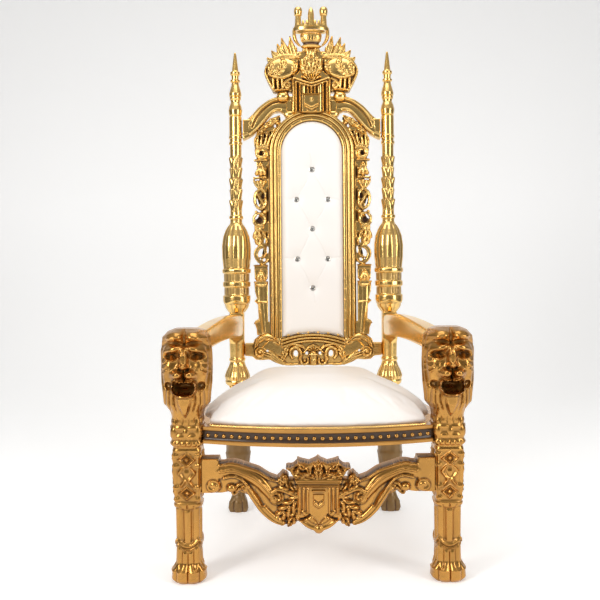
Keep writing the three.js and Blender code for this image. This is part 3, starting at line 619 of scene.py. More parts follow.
def carved_board(window, step, front, back, marks, holes=(), scored=(), even=True, pits=()):
    """A board carved from the front. Each mark gives how far inside it a place lies and how high it stands; the
    highest wins. Holes take the board away and scored lines sink it. The grid's edge is drawn onto the outline,
    walls run back to a flat rear face, and an even board is worked on one half and mirrored."""
    x = np.arange(window[0], window[1] + step / 2, step)
    z = np.arange(window[2], window[3] + step / 2, step)
    x, z = np.meshgrid(x, z)
    reach, relief = np.full(x.shape, -1e3), np.zeros(x.shape)
    for mark in marks:
        inside, height = mark(x, z)
        relief = np.where(inside > 0, np.maximum(relief, height), relief)
        reach = np.maximum(reach, inside)
    for cut in scored:
        relief = relief + cut(x, z) * np.clip(relief / 3, 0, 1)
    relief = np.maximum(relief, 0)
    sunk = np.zeros(x.shape)
    for pit in pits:
        sunk = np.maximum(sunk, np.clip(pit(x, z)[0] / 2.5, 0, 1))
    relief = relief * (1 - sunk) - PIT_DEEP * sunk
    for hole in holes:
        reach = np.minimum(reach, -hole(x, z)[0])
    if even:
        x, z = (np.concatenate([sign * grid[:, :0:-1], grid], 1) for sign, grid in ((-1, x), (1, z)))
        reach, relief, sunk = (np.concatenate([grid[:, :0:-1], grid], 1) for grid in (reach, relief, sunk))
    corner = [reach[:-1, :-1], reach[:-1, 1:], reach[1:, 1:], reach[1:, :-1]]
    used = (np.minimum.reduce(corner) > -0.75 * step) & (np.maximum.reduce(corner) > 0)
    for _ in range(3):
        a, b, c, d = used[:-1, :-1], used[:-1, 1:], used[1:, :-1], used[1:, 1:]
        falling, rising = a & d & ~b & ~c, b & c & ~a & ~d
        used[:-1, 1:] |= falling
        used[:-1, :-1] |= rising
    around = np.pad(used, 1)
    touching = [around[:-1, :-1], around[:-1, 1:], around[1:, :-1], around[1:, 1:]]
    rim = np.logical_or.reduce(touching) & ~np.logical_and.reduce(touching)
    gz, gx = np.gradient(reach, step)
    slope = np.maximum(np.hypot(gx, gz), 0.3)
    shift = np.where(rim, np.clip(-reach / slope, -0.8 * step, 0.8 * step), 0) / slope
    x, z = x + shift * gx, z + shift * gz
    # Painted shade: darker where the surface lies below its blurred surroundings, and fully dark in the pits; the leaf
    # turns dark brown and the leather grey there.
    hollow = np.maximum(np.clip((blur(relief, 5) - relief - 0.4) / 2.6, 0, 1), sunk)
    relief = np.where(rim, 0, relief)
    index = np.arange(x.size).reshape(x.shape)
    sides = [index[:-1, :-1], index[:-1, 1:], index[1:, 1:], index[1:, :-1]]
    fronts = np.stack([side[used] for side in sides], -1)
    rear = x.size
    walls = []
    for k, (di, dj) in enumerate(((-1, 0), (0, 1), (1, 0), (0, -1))):
        beyond = around[1 + di : used.shape[0] + 1 + di, 1 + dj : used.shape[1] + 1 + dj]
        open_edge = used & ~beyond
        a, b = sides[k][open_edge], sides[(k + 1) % 4][open_edge]
        walls.append(np.stack([b, a, a + rear, b + rear], -1))
    faces = np.concatenate([fronts, fronts[:, ::-1] + rear, *walls])
    points = np.concatenate([np.stack([x, front - relief, z], -1).reshape(-1, 3),
                             np.stack([x, np.full(x.shape, float(back)), z], -1).reshape(-1, 3)])
    kept, renumbered = np.unique(faces, return_inverse=True)
    shade = np.concatenate([hollow.reshape(-1), np.zeros(x.size)])
    return points[kept], renumbered.reshape(faces.shape), shade[kept]


apron_marks = [
    plate([(330, 258), (330, 354), (276, 354), (272, 340), (236, 343), (200, 334), (165, 322), (138, 304),
           (106, 292), (50, 290), (50, 178), (96, 167), (124, 178), (144, 194), (162, 220), (182, 250),
           (196, 252), (220, 262), (245, 262), (268, 258)], 1.5, 2),
    plate([(330, 258), (330, 354), (276, 354), (272, 335), (276, 300), (268, 272), (290, 258)], 9, 3),
    boss((291, 279), (22, 21), 15), volute((291, 279), 18, 5, 1.2, 0, 1, 12),
    strap([(276, 316), (240, 325), (202, 313), (168, 292), (142, 264), (122, 236)], [20, 19, 19, 18, 15, 11], 9, 1),
    strap([(274, 335), (236, 338), (201, 329), (166, 316), (138, 298), (116, 290)], [4, 4, 4, 4, 4, 3], 5, 7),
    strap([(272, 318), (236, 322), (204, 312), (172, 296), (148, 274), (130, 250)], [4, 4, 4, 4, 4, 3], 4, 10),
    strap([(262, 300), (238, 305), (214, 297), (194, 276), (176, 248), (158, 222)], [4, 4, 4, 4, 4, 3], 5, 8),
    boss((241, 272), (14, 13), 15), acanthus([(234, 258), (217, 276), (198, 268), (186, 250)], 13, 12, 3),
    strap([(200, 276), (178, 246), (152, 210), (124, 184), (100, 172)], [8, 12, 13, 12, 8], 10, 1, 3),
    acanthus([(62, 238), (86, 214), (108, 190), (116, 176)], 25, 15, 4, 1),
    acanthus([(60, 208), (72, 184), (84, 164)], 17, 15, 3, 1),
    volute((116, 244), 21, 11, 1.5, 0.2, -1, 3),
    strap([(132, 258), (110, 268), (82, 258), (60, 248)], [5, 6, 6, 5], 7, 6),
    acanthus([(60, 262), (84, 270), (102, 288), (98, 308)], 17, 14, 4, 1),
    volute((96, 296), 14, 8, 1.2, 0, 1, 4),
    plate([(-20, 292), (60, 292), (60, 192), (40, 180), (0, 148), (-20, 150)], 13, 4),
    strap([(-9, 288), (60, 288)], [4, 4], 6, 12), strap([(-9, 277), (60, 277)], [3, 3], 5, 12),
    *[strap([(a, 270), (a, 200)], [4, 3], 5, 12) for a in (30, 41, 52)],
    plate([(-20, 268), (19, 268), (19, 262), (-20, 262)], 18, 2),
    plate([(-20, 256), (16, 256), (16, 226), (0, 214), (-20, 214)], 17, 2),
    *[strap([(3 + 7 * k, 172 + 3 * k), (20 + 7 * k, 190 + 2 * k), (38 + 5 * k, 206 + 3 * k)], [2.5, 3.5, 2], 6, 12)
      for k in range(3)],
    strap([(4, 158), (28, 166), (58, 188)], [9, 8, 5], 9, 6), boss((0, 158), (16, 16), 21),
    plate([(-20, 290), (62, 290), (64, 300), (88, 326), (70, 331), (54, 346), (26, 339), (0, 350), (-20, 344)], 13, 4),
    strap([(-12, 294), (63, 294)], [4, 4], 6, 14),
    acanthus([(16, 296), (46, 308), (72, 322), (87, 326)], 12, 9, 4, 12),
    acanthus([(6, 298), (30, 314), (46, 332), (56, 345)], 12, 10, 4, 12),
    acanthus([(-2, 298), (2, 318), (4, 334), (0, 350)], 12, 10, 3, 13),
    acanthus([(36, 298), (58, 302), (74, 312)], 8, 7, 3, 12),
]
apron_scored = [
    lines([[(172, 268), (160, 244), (152, 224)]], 4, 9), lines([[(26, 196), (42, 186), (52, 184)]], 3.5, 9),
    lines([[(34, 320), (50, 318)], [(14, 328), (18, 312)], [(60, 330), (66, 322)]], 3, 8),
    lines([[(12 - 4 * k, 240 - 6 * k), (0, 232 - 6 * k)] for k in range(2)], 1.6, 4),
]
part = carved_board((0, 323.5, 140, 354), 1.9, APRON_FRONT, APRON_BACK, apron_marks, (), apron_scored)
piece = assemble("carved_apron", [part], gilt_low_shaded)
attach(piece, "root")
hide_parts("front_apron")

# ---------------------------------------------------------------------------------------------------------------
# Seat cushion: white leatherette drawn over a foam block, crowned in the middle and tacked down along the rail
# under a narrow brass-coloured gimp. It fills out as an upholsterer's stuffing does: a short cloth run with air
# pressure inside, held to a few millimetres so that it stays clear of the lions.
CUSHION_INSIDE = 311
LEATHERETTE_HEX = "F6F1EC"
# The grey painted into the creases as painted shade.
CREASE_SHADE_HEX = "D9CFC6"
PAD_SWELL = 0.009


def leatherette(name):
    """White coated cloth: a soft semi-gloss skin with a pebbled grain about 1.5 mm across, drawn a little coarser
    than real so that it shows, gentle slack of about 60 mm under it, and a greyer tone painted into the creases as
    painted shade."""
    material = bpy.data.materials.new(name)
    material.use_nodes = True
    tree = material.node_tree
    shader = tree.nodes["Principled BSDF"]
    place = node(tree, "ShaderNodeTexCoord").outputs["Object"]
    grain = node(tree, "ShaderNodeTexVoronoi", {"feature": "SMOOTH_F1"}, Vector=place, Scale=620.0, Smoothness=0.6)
    slack = node(tree, "ShaderNodeTexNoise", Vector=place, Scale=16.0, Detail=2.0).outputs["Fac"]
    hollow = node(tree, "ShaderNodeAttribute", {"attribute_name": "hollow"}).outputs["Fac"]
    # Painted shade: the creases, where the 'hollow' attribute is high, turn greyer.
    tone = node(tree, "ShaderNodeMix", {"data_type": "RGBA"})
    tone.inputs["A"].default_value = linear(LEATHERETTE_HEX)
    tone.inputs["B"].default_value = linear(CREASE_SHADE_HEX)
    tree.links.new(hollow, tone.inputs["Factor"])
    tree.links.new(tone.outputs["Result"], shader.inputs["Base Color"])
    gloss = node(tree, "ShaderNodeMath", {"operation": "MULTIPLY_ADD"}, i0=slack, i1=0.14, i2=0.36)
    tree.links.new(gloss.outputs[0], shader.inputs["Roughness"])
    first = node(tree, "ShaderNodeBump", Strength=0.12, Distance=0.004, Height=slack)
    second = node(tree, "ShaderNodeBump", Strength=0.10, Distance=0.0004, Height=grain.outputs["Distance"],
                  Normal=first.outputs[0])
    tree.links.new(second.outputs[0], shader.inputs["Normal"])
    return material


white_hide = leatherette("white_leatherette")


def cushion_shell(shrink):
    """Rings of the seat's plan, drawn in towards the middle as they rise: the inset grows as the side leans in
    and closes over a crown. The plan follows the bowed rail, passes inside the lions and narrows at the back."""
    inside = CUSHION_INSIDE - shrink
    bow = [[t * inside, bowed(t * inside) + 10 + shrink] for t in (0, 0.25, 0.5, 0.75)]
    corners = [*bow, [inside - 8, bowed(inside) + 14 + shrink], [inside, -330], [inside, -260], [inside + 24, -234],
               [inside + 22, -170], [290 - shrink, 60], [262 - shrink, 228], [226 - shrink, 264 - shrink],
               [120, 270 - shrink], [0, 270 - shrink]]
    half = curve(corners, 90)
    plan = np.concatenate([half, half[-2:0:-1] * [-1, 1]])[None]
    rise = np.array([0, 2, 8, 16, 26, 36, 46, 55, 64, 72, 80, 87, 93, 98, 102, 105, 107])[:, None, None]
    share = np.interp(rise, [0, 8, 26, 107], [0, 0, 0.0, 1])
    inset = np.interp(rise, [0, 8, 16, 36, 55, 72, 87, 98, 107], [6, 0.5, 0, 7, 24, 52, 96, 150, 262]) + 0 * share
    middle = np.array([0, -66])
    xy = middle + (plan - middle) * (1 - inset / np.array([330, 345]))
    return capped(np.concatenate([xy, np.broadcast_to(441.4 + rise, (*xy.shape[:2], 1))], -1))


def stuffed(piece, voxel, swell, pressure=4.0, frames=20):
    """Fills a piece out: remeshed in even quads, blown up by cloth pressure with no gravity, each point's move
    capped at swell, then smoothed by one subdivision. What comes out is plain mesh."""
    scene = bpy.context.scene
    bpy.context.view_layer.objects.active = piece
    remesh = piece.modifiers.new("remesh", "REMESH")
    remesh.mode, remesh.voxel_size, remesh.use_smooth_shade = "VOXEL", voxel, True
    bpy.ops.object.modifier_apply(modifier="remesh")
    mesh = piece.data
    start = np.empty(len(mesh.vertices) * 3, np.float32)
    mesh.vertices.foreach_get("co", start)
    start = start.reshape(-1, 3)
    held = piece.vertex_groups.new(name="tacked")
    low = start[:, 2].min() + 0.012
    held.add(np.flatnonzero(start[:, 2] < low).tolist(), 1.0, "REPLACE")
    cloth = piece.modifiers.new("cloth", "CLOTH")
    cloth.settings.use_pressure, cloth.settings.uniform_pressure_force = True, pressure
    cloth.settings.effector_weights.gravity = 0.0
    cloth.settings.vertex_group_mass = "tacked"
    cloth.settings.quality = 4
    cloth.point_cache.frame_start, cloth.point_cache.frame_end = 1, frames
    for number in range(1, frames + 1):
        scene.frame_set(number)
    blown = np.empty_like(start).ravel()
    piece.evaluated_get(bpy.context.evaluated_depsgraph_get()).data.vertices.foreach_get("co", blown)
    piece.modifiers.remove(cloth)
    move = blown.reshape(-1, 3) - start
    far = np.linalg.norm(move, axis=1, keepdims=True)
    start = start + move * np.minimum(1, swell / np.maximum(far, 1e-9))
    mesh.vertices.foreach_set("co", start.ravel())
    scene.frame_set(1)
    piece.vertex_groups.clear()
    smoother = piece.modifiers.new("smooth", "SUBSURF")
    smoother.levels = smoother.render_levels = 1
    bpy.ops.object.modifier_apply(modifier="smooth")
    piece.data.materials.clear()
    piece.data.materials.append(white_hide)


cushion = assemble("seat_pad", [cushion_shell(6)], white_hide, 180)
stuffed(cushion, 0.008, PAD_SWELL)
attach(cushion, "root")
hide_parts("seat_cushion")

# The gimp: a twisted brass-coloured strip tacked along the front edge where the cover meets the rail
gimp_x = np.linspace(-300, 300, 260)
gimp_turn = np.linspace(0, 2 * math.pi, 10, endpoint=False)
gimp_half = 3.0 + 0.8 * np.cos(2 * math.pi * gimp_x / 7.5)[:, None]
gimp = capped(np.stack([gimp_x[:, None] + 0 * gimp_turn,
                        bowed(gimp_x)[:, None] + 3.5 + gimp_half * np.cos(gimp_turn),
                        444.6 + gimp_half * np.sin(gimp_turn)], -1))
piece = assemble("front_gimp", [gimp], gilt, 60)
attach(piece, "root")

# ---------------------------------------------------------------------------------------------------------------
# Back posts: each a single turned and carved length from paw to spire, raked two degrees above the seat.
# The turner leaves blocks for the rails and the arm; the carver cuts the fluted tulip, its bands and the wraps.
POST_PROFILE = np.array([
    [0, 32, 3], [14, 37, 3], [36, 34, 3], [54, 25, 2], [66, 21.5, 2], [78, 23, 2], [130, 34, 2.2], [203, 44.5, 2.4],
    [250, 42, 2.4], [320, 33, 3], [376, 27, 8], [385, 27, 12], [452, 27, 12], [458, 30, 4], [464, 42, 2], [474, 45, 2],
    [480, 43, 2], [492, 46, 2], [510, 40, 2], [530, 30, 2], [545, 27, 2], [549, 30, 2], [556, 30, 2], [560, 27, 2],
    [612, 28.5, 2], [622, 28, 4], [630, 27, 12], [718, 27, 12], [722, 26, 4], [726, 31, 2], [740, 41, 2], [753, 45, 2],
    [756, 49, 2], [784, 49, 2], [788, 45, 2], [814, 45, 2], [818, 48.5, 2], [834, 48.5, 2], [838, 46, 2],
    [864, 46.5, 2], [867, 50, 2], [880, 50.5, 2], [884, 48, 2], [920, 52, 2], [964, 53, 2], [1000, 47.5, 2],
    [1022, 39, 2], [1036, 31, 2], [1044, 25, 2], [1050, 22.5, 2], [1062, 22.5, 2], [1065, 26, 2], [1073, 26, 2],
    [1076, 22, 2], [1096, 21, 2], [1290, 21, 2], [1332, 21.5, 2], [1334, 25, 2], [1341, 25, 2], [1343, 22, 2],
    [1354, 22, 2], [1356, 25, 2], [1363, 25, 2], [1365, 23, 2], [1434, 23, 2], [1437, 20.5, 2], [1440, 23, 2],
    [1458, 25.5, 2], [1474, 22, 2], [1486, 17, 2], [1494, 17.5, 2], [1500, 21, 2], [1505, 21, 2], [1507, 18.5, 2],
    [1510, 22.5, 2], [1520, 22.5, 2], [1536, 18.5, 2], [1550, 14, 2], [1559, 13, 2], [1562, 18, 2], [1568, 18, 2],
    [1571, 13, 2], [1584, 13.5, 2], [1590, 18, 2], [1597, 18, 2], [1602, 12, 2], [1664, 4.6, 2], [1669, 3, 2]])
POST_COLUMNS = 72


def band(z, low, high, soft=2.0):
    """1 between two heights and 0 outside, with soft edges."""
    return 0.5 * (np.tanh((z - low) / soft) - np.tanh((z - high) / soft))


def back_post():
    """A turned profile with relief in rows: radius by height, squared off where the blocks are, plus petals and
    flutes that are cosines of the turn round the post, each within its own stretch of height."""
    fine = np.arange(1092, 1290, 2.2)
    z = np.unique(np.concatenate([np.arange(0, 100, 4), np.arange(100, 455, 7), np.arange(455, 1092, 2.6), fine,
                                  np.arange(1290, 1669, 2.2), POST_PROFILE[:, 0]]))[:, None]
    turn = np.linspace(-math.pi, math.pi, POST_COLUMNS, endpoint=False)[None, :]
    rows = POST_PROFILE
    radius = np.interp(z, rows[:, 0], rows[:, 1]) + 0 * turn
    square = np.interp(z, rows[:, 0], rows[:, 2])

    def petals(count, shift=0.0):
        return np.abs(np.cos(count * turn / 2 + shift * math.pi))

    relief = 0 * radius
    # paw: toes divided at the front, and a fluted ankle that swells to the knee
    toes = petals(7) ** 0.5 * np.clip(1.6 * np.cos(turn), 0, 1)
    relief += band(z, -10, 46, 5) * (6.5 * toes - 3)
    relief += band(z, 84, 196, 12) * 4.2 * (petals(10) ** 0.7 - 0.75)
    relief += band(z, 206, 214) * 2.5 + band(z, 222, 300, 14) * 3.0 * (petals(6, 0.5) ** 0.8 - 0.6)
    # fluted flare over the seat, and its two rings
    relief += band(z, 482, 536, 6) * 3.4 * (petals(16) ** 0.6 - 0.7)
    # cup and wide band over the arm: the band's edges are scalloped
    relief += band(z, 722, 755) * 3.0 * (petals(8) ** 0.5 - 0.85)
    scallop = 4.5 * np.cos(4 * turn)
    relief += 2.6 * band(z, 760 + scallop, 785 + 0.5 * scallop, 2.2) - 1.2 * band(z, 753, 788)
    # segmented bands, ribbed between
    relief += band(z, 790, 813) * 3.4 * (petals(20) ** 0.6 - 0.8) + band(z, 838, 864) * 3.4 * (petals(20) ** 0.6 - 0.8)
    relief += 2.2 * (band(z, 817, 835) + band(z, 866, 881))
    relief += (band(z, 817, 835) + band(z, 866, 881)) * 2.4 * (petals(10) ** 0.25 - 0.9)
    # tulip: ten petals, every other one broader, closing over the neck
    height = np.clip((z - 884) / 156, 0, 1)
    broad = petals(10) ** 0.55
    narrow = np.exp(-((np.abs(np.angle(np.exp(1j * 10 * turn)) / 10) / 0.05) ** 2)) * (1 - height)
    relief += band(z, 884, 1038, 4) * (5.6 * (broad - 0.8) - 2.2 * narrow * np.clip(2 - 3 * height, 0, 1))
    relief += band(z, 1052, 1058) * -1.0
    # wraps: five tiers of pointed leaves standing off the shaft, each tier turned half a leaf from the last
    tier = (z - 1094) / 39
    count = np.floor(tier)
    rise = tier - count
    leaf_turn = np.angle(np.exp(1j * (turn + (count % 2) * math.pi / 4 + 0.35 * rise) * 4)) / 4
    wide = 0.80 * np.sqrt(np.clip(1.02 - rise**2.4, 0, 1)) + 0.02
    inside = np.clip(1 - (leaf_turn / wide) ** 2, 0, 1)
    leaf = inside**0.6 * (1.2 + 6.2 * rise**1.4) - 2.4 * np.exp(-((leaf_turn / 0.10) ** 2)) * inside * (0.4 + rise)
    relief += band(z, 1092, 1288, 1.5) * (leaf - 1.0)
    # Painted shade: darker where the carving lies below its blurred surroundings.
    shade = np.clip((blur(relief, 6, True) - relief) / 2.4, 0, 1)
    # Painted shade: the two ribbed bands over the arm are darkened, most between the ribs.
    shade = np.maximum(shade, 0.70 * (band(z, 790, 813) + band(z, 838, 864)) * (1 - 0.6 * petals(20)))
    # Painted shade: below the seat, about 400 mm up, the post takes 80% of the dark brown, as the shade under the seat.
    shade = np.maximum(shade, 0.80 * (1 - 1 / (1 + np.exp(-(z - 400) / 10))) + 0 * turn)
    reach = radius + relief
    s, c = np.sin(turn), np.cos(turn)
    size = (np.abs(s) ** square + np.abs(c) ** square) ** (-1 / square)
    size = np.where(square > 2.05, size, 1.0)
    points = np.stack([BACK_X + reach * size * s, BACK_Y - reach * size * c, z + 0 * turn], -1)
    return capped(points, shade)


part = back_post()
part = (leaned(part[0]), *part[1:])
for side, pole in (("left", mirrored(part)), ("right", part)):
    piece = assemble(f"carved_post_{side}", [pole], gilt, 50)
    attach(piece, "root")
    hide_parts(f"back_post_{side}")

# ---------------------------------------------------------------------------------------------------------------
# Frame of the back: one moulding run round the round-headed opening, a flat bright sight edge and two rounded
# members divided by quirks, with a row of small brass nails along the sight edge.
PANEL_HALF, ARCH_Z, PANEL_LOW, FRAME_FRONT = 112, 1305, 632, 288
# Rows: offset across the moulding, depth back from the frame's front, and painted shade, full in the two quirks.
FRAME_SECTION = np.array([
    [0, 42, 0], [0, 9, 0.3], [1.2, 6, 0.1], [4, 4.2, 0], [10, 3.6, 0], [12.6, 4.6, 0.2], [14.4, 8, 1], [16, 4.2, 0.3],
    [18.4, 1.1, 0], [21.5, 0, 0], [24.6, 1.1, 0], [26.8, 4.2, 0.3], [28.3, 8, 1], [29.8, 4.6, 0.3], [32, 2, 0],
    [35, 1, 0], [38, 1.6, 0], [40.2, 4.2, 0.1], [41, 9, 0.2], [41, 42, 0]])
NAIL_EVERY = 36.5


def round_head(radius, low, up_steps, arc_steps):
    """Up one side, round a half circle and down the other, for each radius: x and z."""
    up = np.linspace(0, 1, up_steps, endpoint=False)[:, None]
    angle = np.linspace(0, math.pi, arc_steps)[:, None]
    radius = np.atleast_1d(radius)[None, :]
    right = np.stack([radius + 0 * up, low + up * (ARCH_Z - low) + 0 * radius], -1)
    arc = np.stack([radius * np.cos(angle), ARCH_Z + radius * np.sin(angle)], -1)
    return np.concatenate([right, arc, (right * [-1, 1])[::-1]])


path = round_head(PANEL_HALF + FRAME_SECTION[:, 0], PANEL_LOW + 0.3, 24, 72)
depth = np.broadcast_to(FRAME_FRONT + FRAME_SECTION[:, 1], path.shape[:2])
moulding = capped(np.stack([path[..., 0], depth, path[..., 1]], -1), np.broadcast_to(FRAME_SECTION[:, 2], path.shape[:2]))
run = 2 * (ARCH_Z - 655) + math.pi * (PANEL_HALF + 4)
trail = np.linspace(0, run, int(run / NAIL_EVERY))
straight = ARCH_Z - 655
angle = (trail - straight) / (PANEL_HALF + 4)
nail_x = (PANEL_HALF + 4) * np.cos(np.clip(angle, 0, math.pi))
nail_z = np.where(trail < straight, 655 + trail, np.where(angle > math.pi, 655 + run - trail,
                  ARCH_Z + (PANEL_HALF + 4) * np.sin(np.clip(angle, 0, math.pi))))
sight_nails = domes(np.stack([nail_x, 0 * nail_x + 293.4, nail_z], -1), np.tile([0.0, -1.0, 0.0], (len(nail_x), 1)),
                    4.6, 3.6, 4, 10)
pieces = [moulding, *sight_nails]
piece = assemble("back_moulding", [(leaned(points), faces, shade) for points, faces, shade in pieces], gilt, 60)
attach(piece, "root")
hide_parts("back_frame")

# ---------------------------------------------------------------------------------------------------------------
# Back pad: the same leatherette over foam, buttoned in a diamond pattern with faint pleats between the buttons.
# Each button is a cut glass stone in a small silver-coloured cup. A flat covered panel closes the back.
PAD_FRONT, PAD_BACK, PAD_SIDE = 276, 316, PANEL_HALF - 1.5
BUTTON_SPOTS = [(0, 1238), (-57, 1130), (57, 1130), (0, 1024), (-55, 915), (55, 915), (0, 810)]
PLEATS = [((8, 1222), (46, 1148)), ((-20, 1196), (-46, 1150)), ((-48, 1112), (-12, 1046)), ((48, 1110), (20, 1062)),
          ((8, 1008), (46, 932)), ((-14, 998), (-44, 936)), ((-46, 898), (-14, 830)), ((46, 896), (18, 842)),
          ((-4, 1250), (-7, 1292)), ((66, 1134), (108, 1126)), ((-66, 1134), (-106, 1131)), ((64, 918), (108, 923)),
          ((-64, 916), (-106, 920)), ((2, 796), (6, 760))]


def pad_surface(x, z):
    """Foam under leather: full inside a rounded rim 24 mm wide, drawn in by a wide and a narrow bell at each
    button, fuller between them, with a sharp little furrow along each pleat."""
    foot = z - (PANEL_LOW + 1 + 15 * (1 - (x / PAD_SIDE) ** 2))
    side = np.where(z > ARCH_Z, PAD_SIDE - np.hypot(x, z - ARCH_Z), PAD_SIDE - np.abs(x))
    reach = np.minimum(side, foot)
    full = 27 * np.sqrt(1 - (1 - np.clip(reach / 26, 0, 1)) ** 2)
    for spot in BUTTON_SPOTS:
        full += mound(x, z, (spot[0], spot[1] + 4), (26, 30), -8.0) + mound(x, z, spot, (10, 10), -6.5)
    for start, end in PLEATS:
        middle = ((start[0] + end[0]) / 2 + 2, (start[1] + end[1]) / 2)
        full += ridge(x, z, [start, middle, end], 2.6, -1.7)
    return reach, np.maximum(full, 0.5)


part = carved_board((-112, 112, 630, 1420), 2.6, PAD_FRONT + 28, PAD_BACK, [pad_surface], even=False)
pad = assemble("back_cushion", [(leaned(part[0]), *part[1:])], white_hide, 60)
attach(pad, "root")
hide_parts("back_pad")

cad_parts["rear_panel"].data.materials.clear()
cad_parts["rear_panel"].data.materials.append(white_hide)

silver = bpy.data.materials.new("polished_silver_plate")  # bright plated cup round each stone
silver.use_nodes = True
shader = silver.node_tree.nodes["Principled BSDF"]
place = node(silver.node_tree, "ShaderNodeTexCoord").outputs["Object"]
smear = node(silver.node_tree, "ShaderNodeTexNoise", Vector=place, Scale=300.0, Detail=2.0).outputs["Fac"]
dull = node(silver.node_tree, "ShaderNodeMath", {"operation": "MULTIPLY_ADD"}, i0=smear, i1=0.16, i2=0.12)
silver.node_tree.links.new(dull.outputs[0], shader.inputs["Roughness"])
shader.inputs["Base Color"].default_value = linear("C9C6C0")
shader.inputs["Metallic"].default_value = 1.0

crystal = bpy.data.materials.new("cut_glass")  # clear pressed and polished glass, sharp flat facets
crystal.use_nodes = True
shader = crystal.node_tree.nodes["Principled BSDF"]
place = node(crystal.node_tree, "ShaderNodeTexCoord").outputs["Object"]
streak = node(crystal.node_tree, "ShaderNodeTexNoise", Vector=place, Scale=200.0, Detail=1.0).outputs["Fac"]
bump = node(crystal.node_tree, "ShaderNodeBump", Strength=0.03, Distance=0.0004, Height=streak)
crystal.node_tree.links.new(bump.outputs[0], shader.inputs["Normal"])
shader.inputs["Base Color"].default_value = linear("FFFFFF")
shader.inputs["Transmission Weight"].default_value = 1.0
shader.inputs["IOR"].default_value = 1.6
shader.inputs["Roughness"].default_value = 0.02


def turned(spot, profile, columns):
    """Rings turned about a front-to-back axis through a spot, from (radius, y) pairs."""
    angle = np.linspace(0, 2 * math.pi, columns, endpoint=False)
    r, y = np.asarray(profile, float).T[:, :, None]
    return capped(np.stack([spot[0] + r * np.cos(angle), y + 0 * angle, spot[1] + r * np.sin(angle)], -1))


for number, spot in enumerate(BUTTON_SPOTS, 1):
    cup = turned(spot, [(7, 293), (10.6, 291), (10.9, 288), (10.2, 286), (9.0, 285.6), (8.4, 287), (7.6, 289)], 24)
    stone = turned(spot, [(0.6, 288.6), (7.9, 287.2), (8.2, 286.2), (6.6, 283.4), (4.2, 282.2)], 8)
    for name, part, material in (("button_cup", cup, silver), ("button_stone", stone, crystal)):
        piece = assemble(f"{name}_{number}", [(leaned(part[0]), *part[1:])], material, 20)
        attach(piece, "root")
        if name == "button_cup":
            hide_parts(f"button_{number}")

# ---------------------------------------------------------------------------------------------------------------
# Lower rail of the back: a board with three arched mouldings under the pad, a pierced nest of scrolls round a
# small shell, and a winged volute at each end under the hooded foot of the side strips.
LOWER_FRONT, LOWER_BACK = 298, 326


def arch(centre, end, reach, count=7):
    """Points of a flat arch from past the middle to one side: height falls with the square of the distance."""
    x = np.linspace(-12, reach, count)
    return [(a, centre - (centre - end) * (a / reach) ** 2) for a in x]


lower_marks = [
    plate([(-20, 646.6), (0, 646.6), (60, 642.5), (111, 632), (166, 632), (196, 640), (213, 626), (218, 612),
           (247, 612), (247, 566), (222, 564), (208, 552), (186, 550), (160, 552), (137, 540), (112, 531),
           (-20, 530)], 1.2, 2),
    strap(arch(641, 622, 112), [5, 5], 9, 3), strap(arch(630, 609, 114), [4.5, 4.5], 8, 3),
    strap(arch(619, 598, 112), [4.5, 4.5], 8, 3),
    plate([(218, 609), (252, 609), (252, 566), (214, 566)], 5, 3),
    plate([(104, 610), (120, 632), (150, 634), (186, 600), (172, 572), (136, 566), (112, 560), (104, 580)], 5, 6),
    acanthus([(126, 612), (146, 628), (172, 634), (198, 622), (211, 596)], 13, 11, 3, 4),
    strap([(128, 618), (150, 634), (176, 637), (202, 622), (213, 594)], [2, 4, 5, 4, 2], 6, 9),
    volute((192, 579), 21, 12, 1.5, 0.25, 1, 3), boss((192, 579), (6, 6), 16),
    *[strap([(176, 588 - 9 * k), (150, 577 - 9 * k), (124, 553 - 6 * k), (100, 538 - 2 * k)], [3, 5, 5, 3], 8, 4)
      for k in range(3)],
    strap([(184, 560), (166, 558), (146, 552)], [6, 6, 3], 6, 2),
    acanthus([(112, 552), (104, 572), (96, 592), (84, 602)], 12, 9, 3, 3),
    strap([(50, 552), (44, 572), (52, 590), (68, 596), (82, 586), (84, 570), (76, 556)], [5, 6, 6, 6, 6, 5, 4], 11, 3),
    strap([(60, 604), (42, 600), (30, 590)], [5, 6, 4], 8, 3), strap([(86, 604), (70, 608), (56, 603)], [3, 5, 3], 7, 3),
    strap([(-6, 607), (16, 596), (34, 578)], [4, 4.5, 4], 9, 5),
    shell((0, 581), 21, 5, 90, 85, 13, 3), boss((0, 580), (7, 6), 17),
    strap([(0, 572), (0, 530)], [13, 12], 10, 3), boss((0, 547), (8, 11), 16), strap([(-14, 570), (14, 570)], [4, 4], 8, 7),
    strap([(46, 560), (44, 542), (32, 534), (20, 542), (20, 556)], [4.5, 5, 5, 5, 4], 9, 3), boss((32, 548), (6, 6), 9),
    strap([(56, 536), (80, 534), (108, 534)], [4, 5, 3], 6, 3),
]
lower_holes = [boss((64, 573), (8, 12), 1), boss((24, 574), (5, 6), 1), boss((167, 583), (4.5, 4), 1)]
part = carved_board((0, 248, 529.5, 647), 1.5, LOWER_FRONT, LOWER_BACK, lower_marks, lower_holes)
piece = assemble("carved_lower_rail", [(leaned(part[0]), *part[1:])], gilt)
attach(piece, "root")
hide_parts("lower_rail")

# Nails along the foot of the pad, driven through the leather into the arched rail
foot_x = np.linspace(-90, 90, 6)
foot_nails = domes(np.stack([foot_x, 0 * foot_x + 287.5, 651.5 - 15 * (foot_x / 111) ** 2], -1),
                   np.tile([0.0, -1.0, 0.0], (6, 1)), 4.6, 3.6, 4, 10)
piece = assemble("foot_nails", [(leaned(points), faces, shade) for points, faces, shade in foot_nails], gilt, 60)
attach(piece, "root")

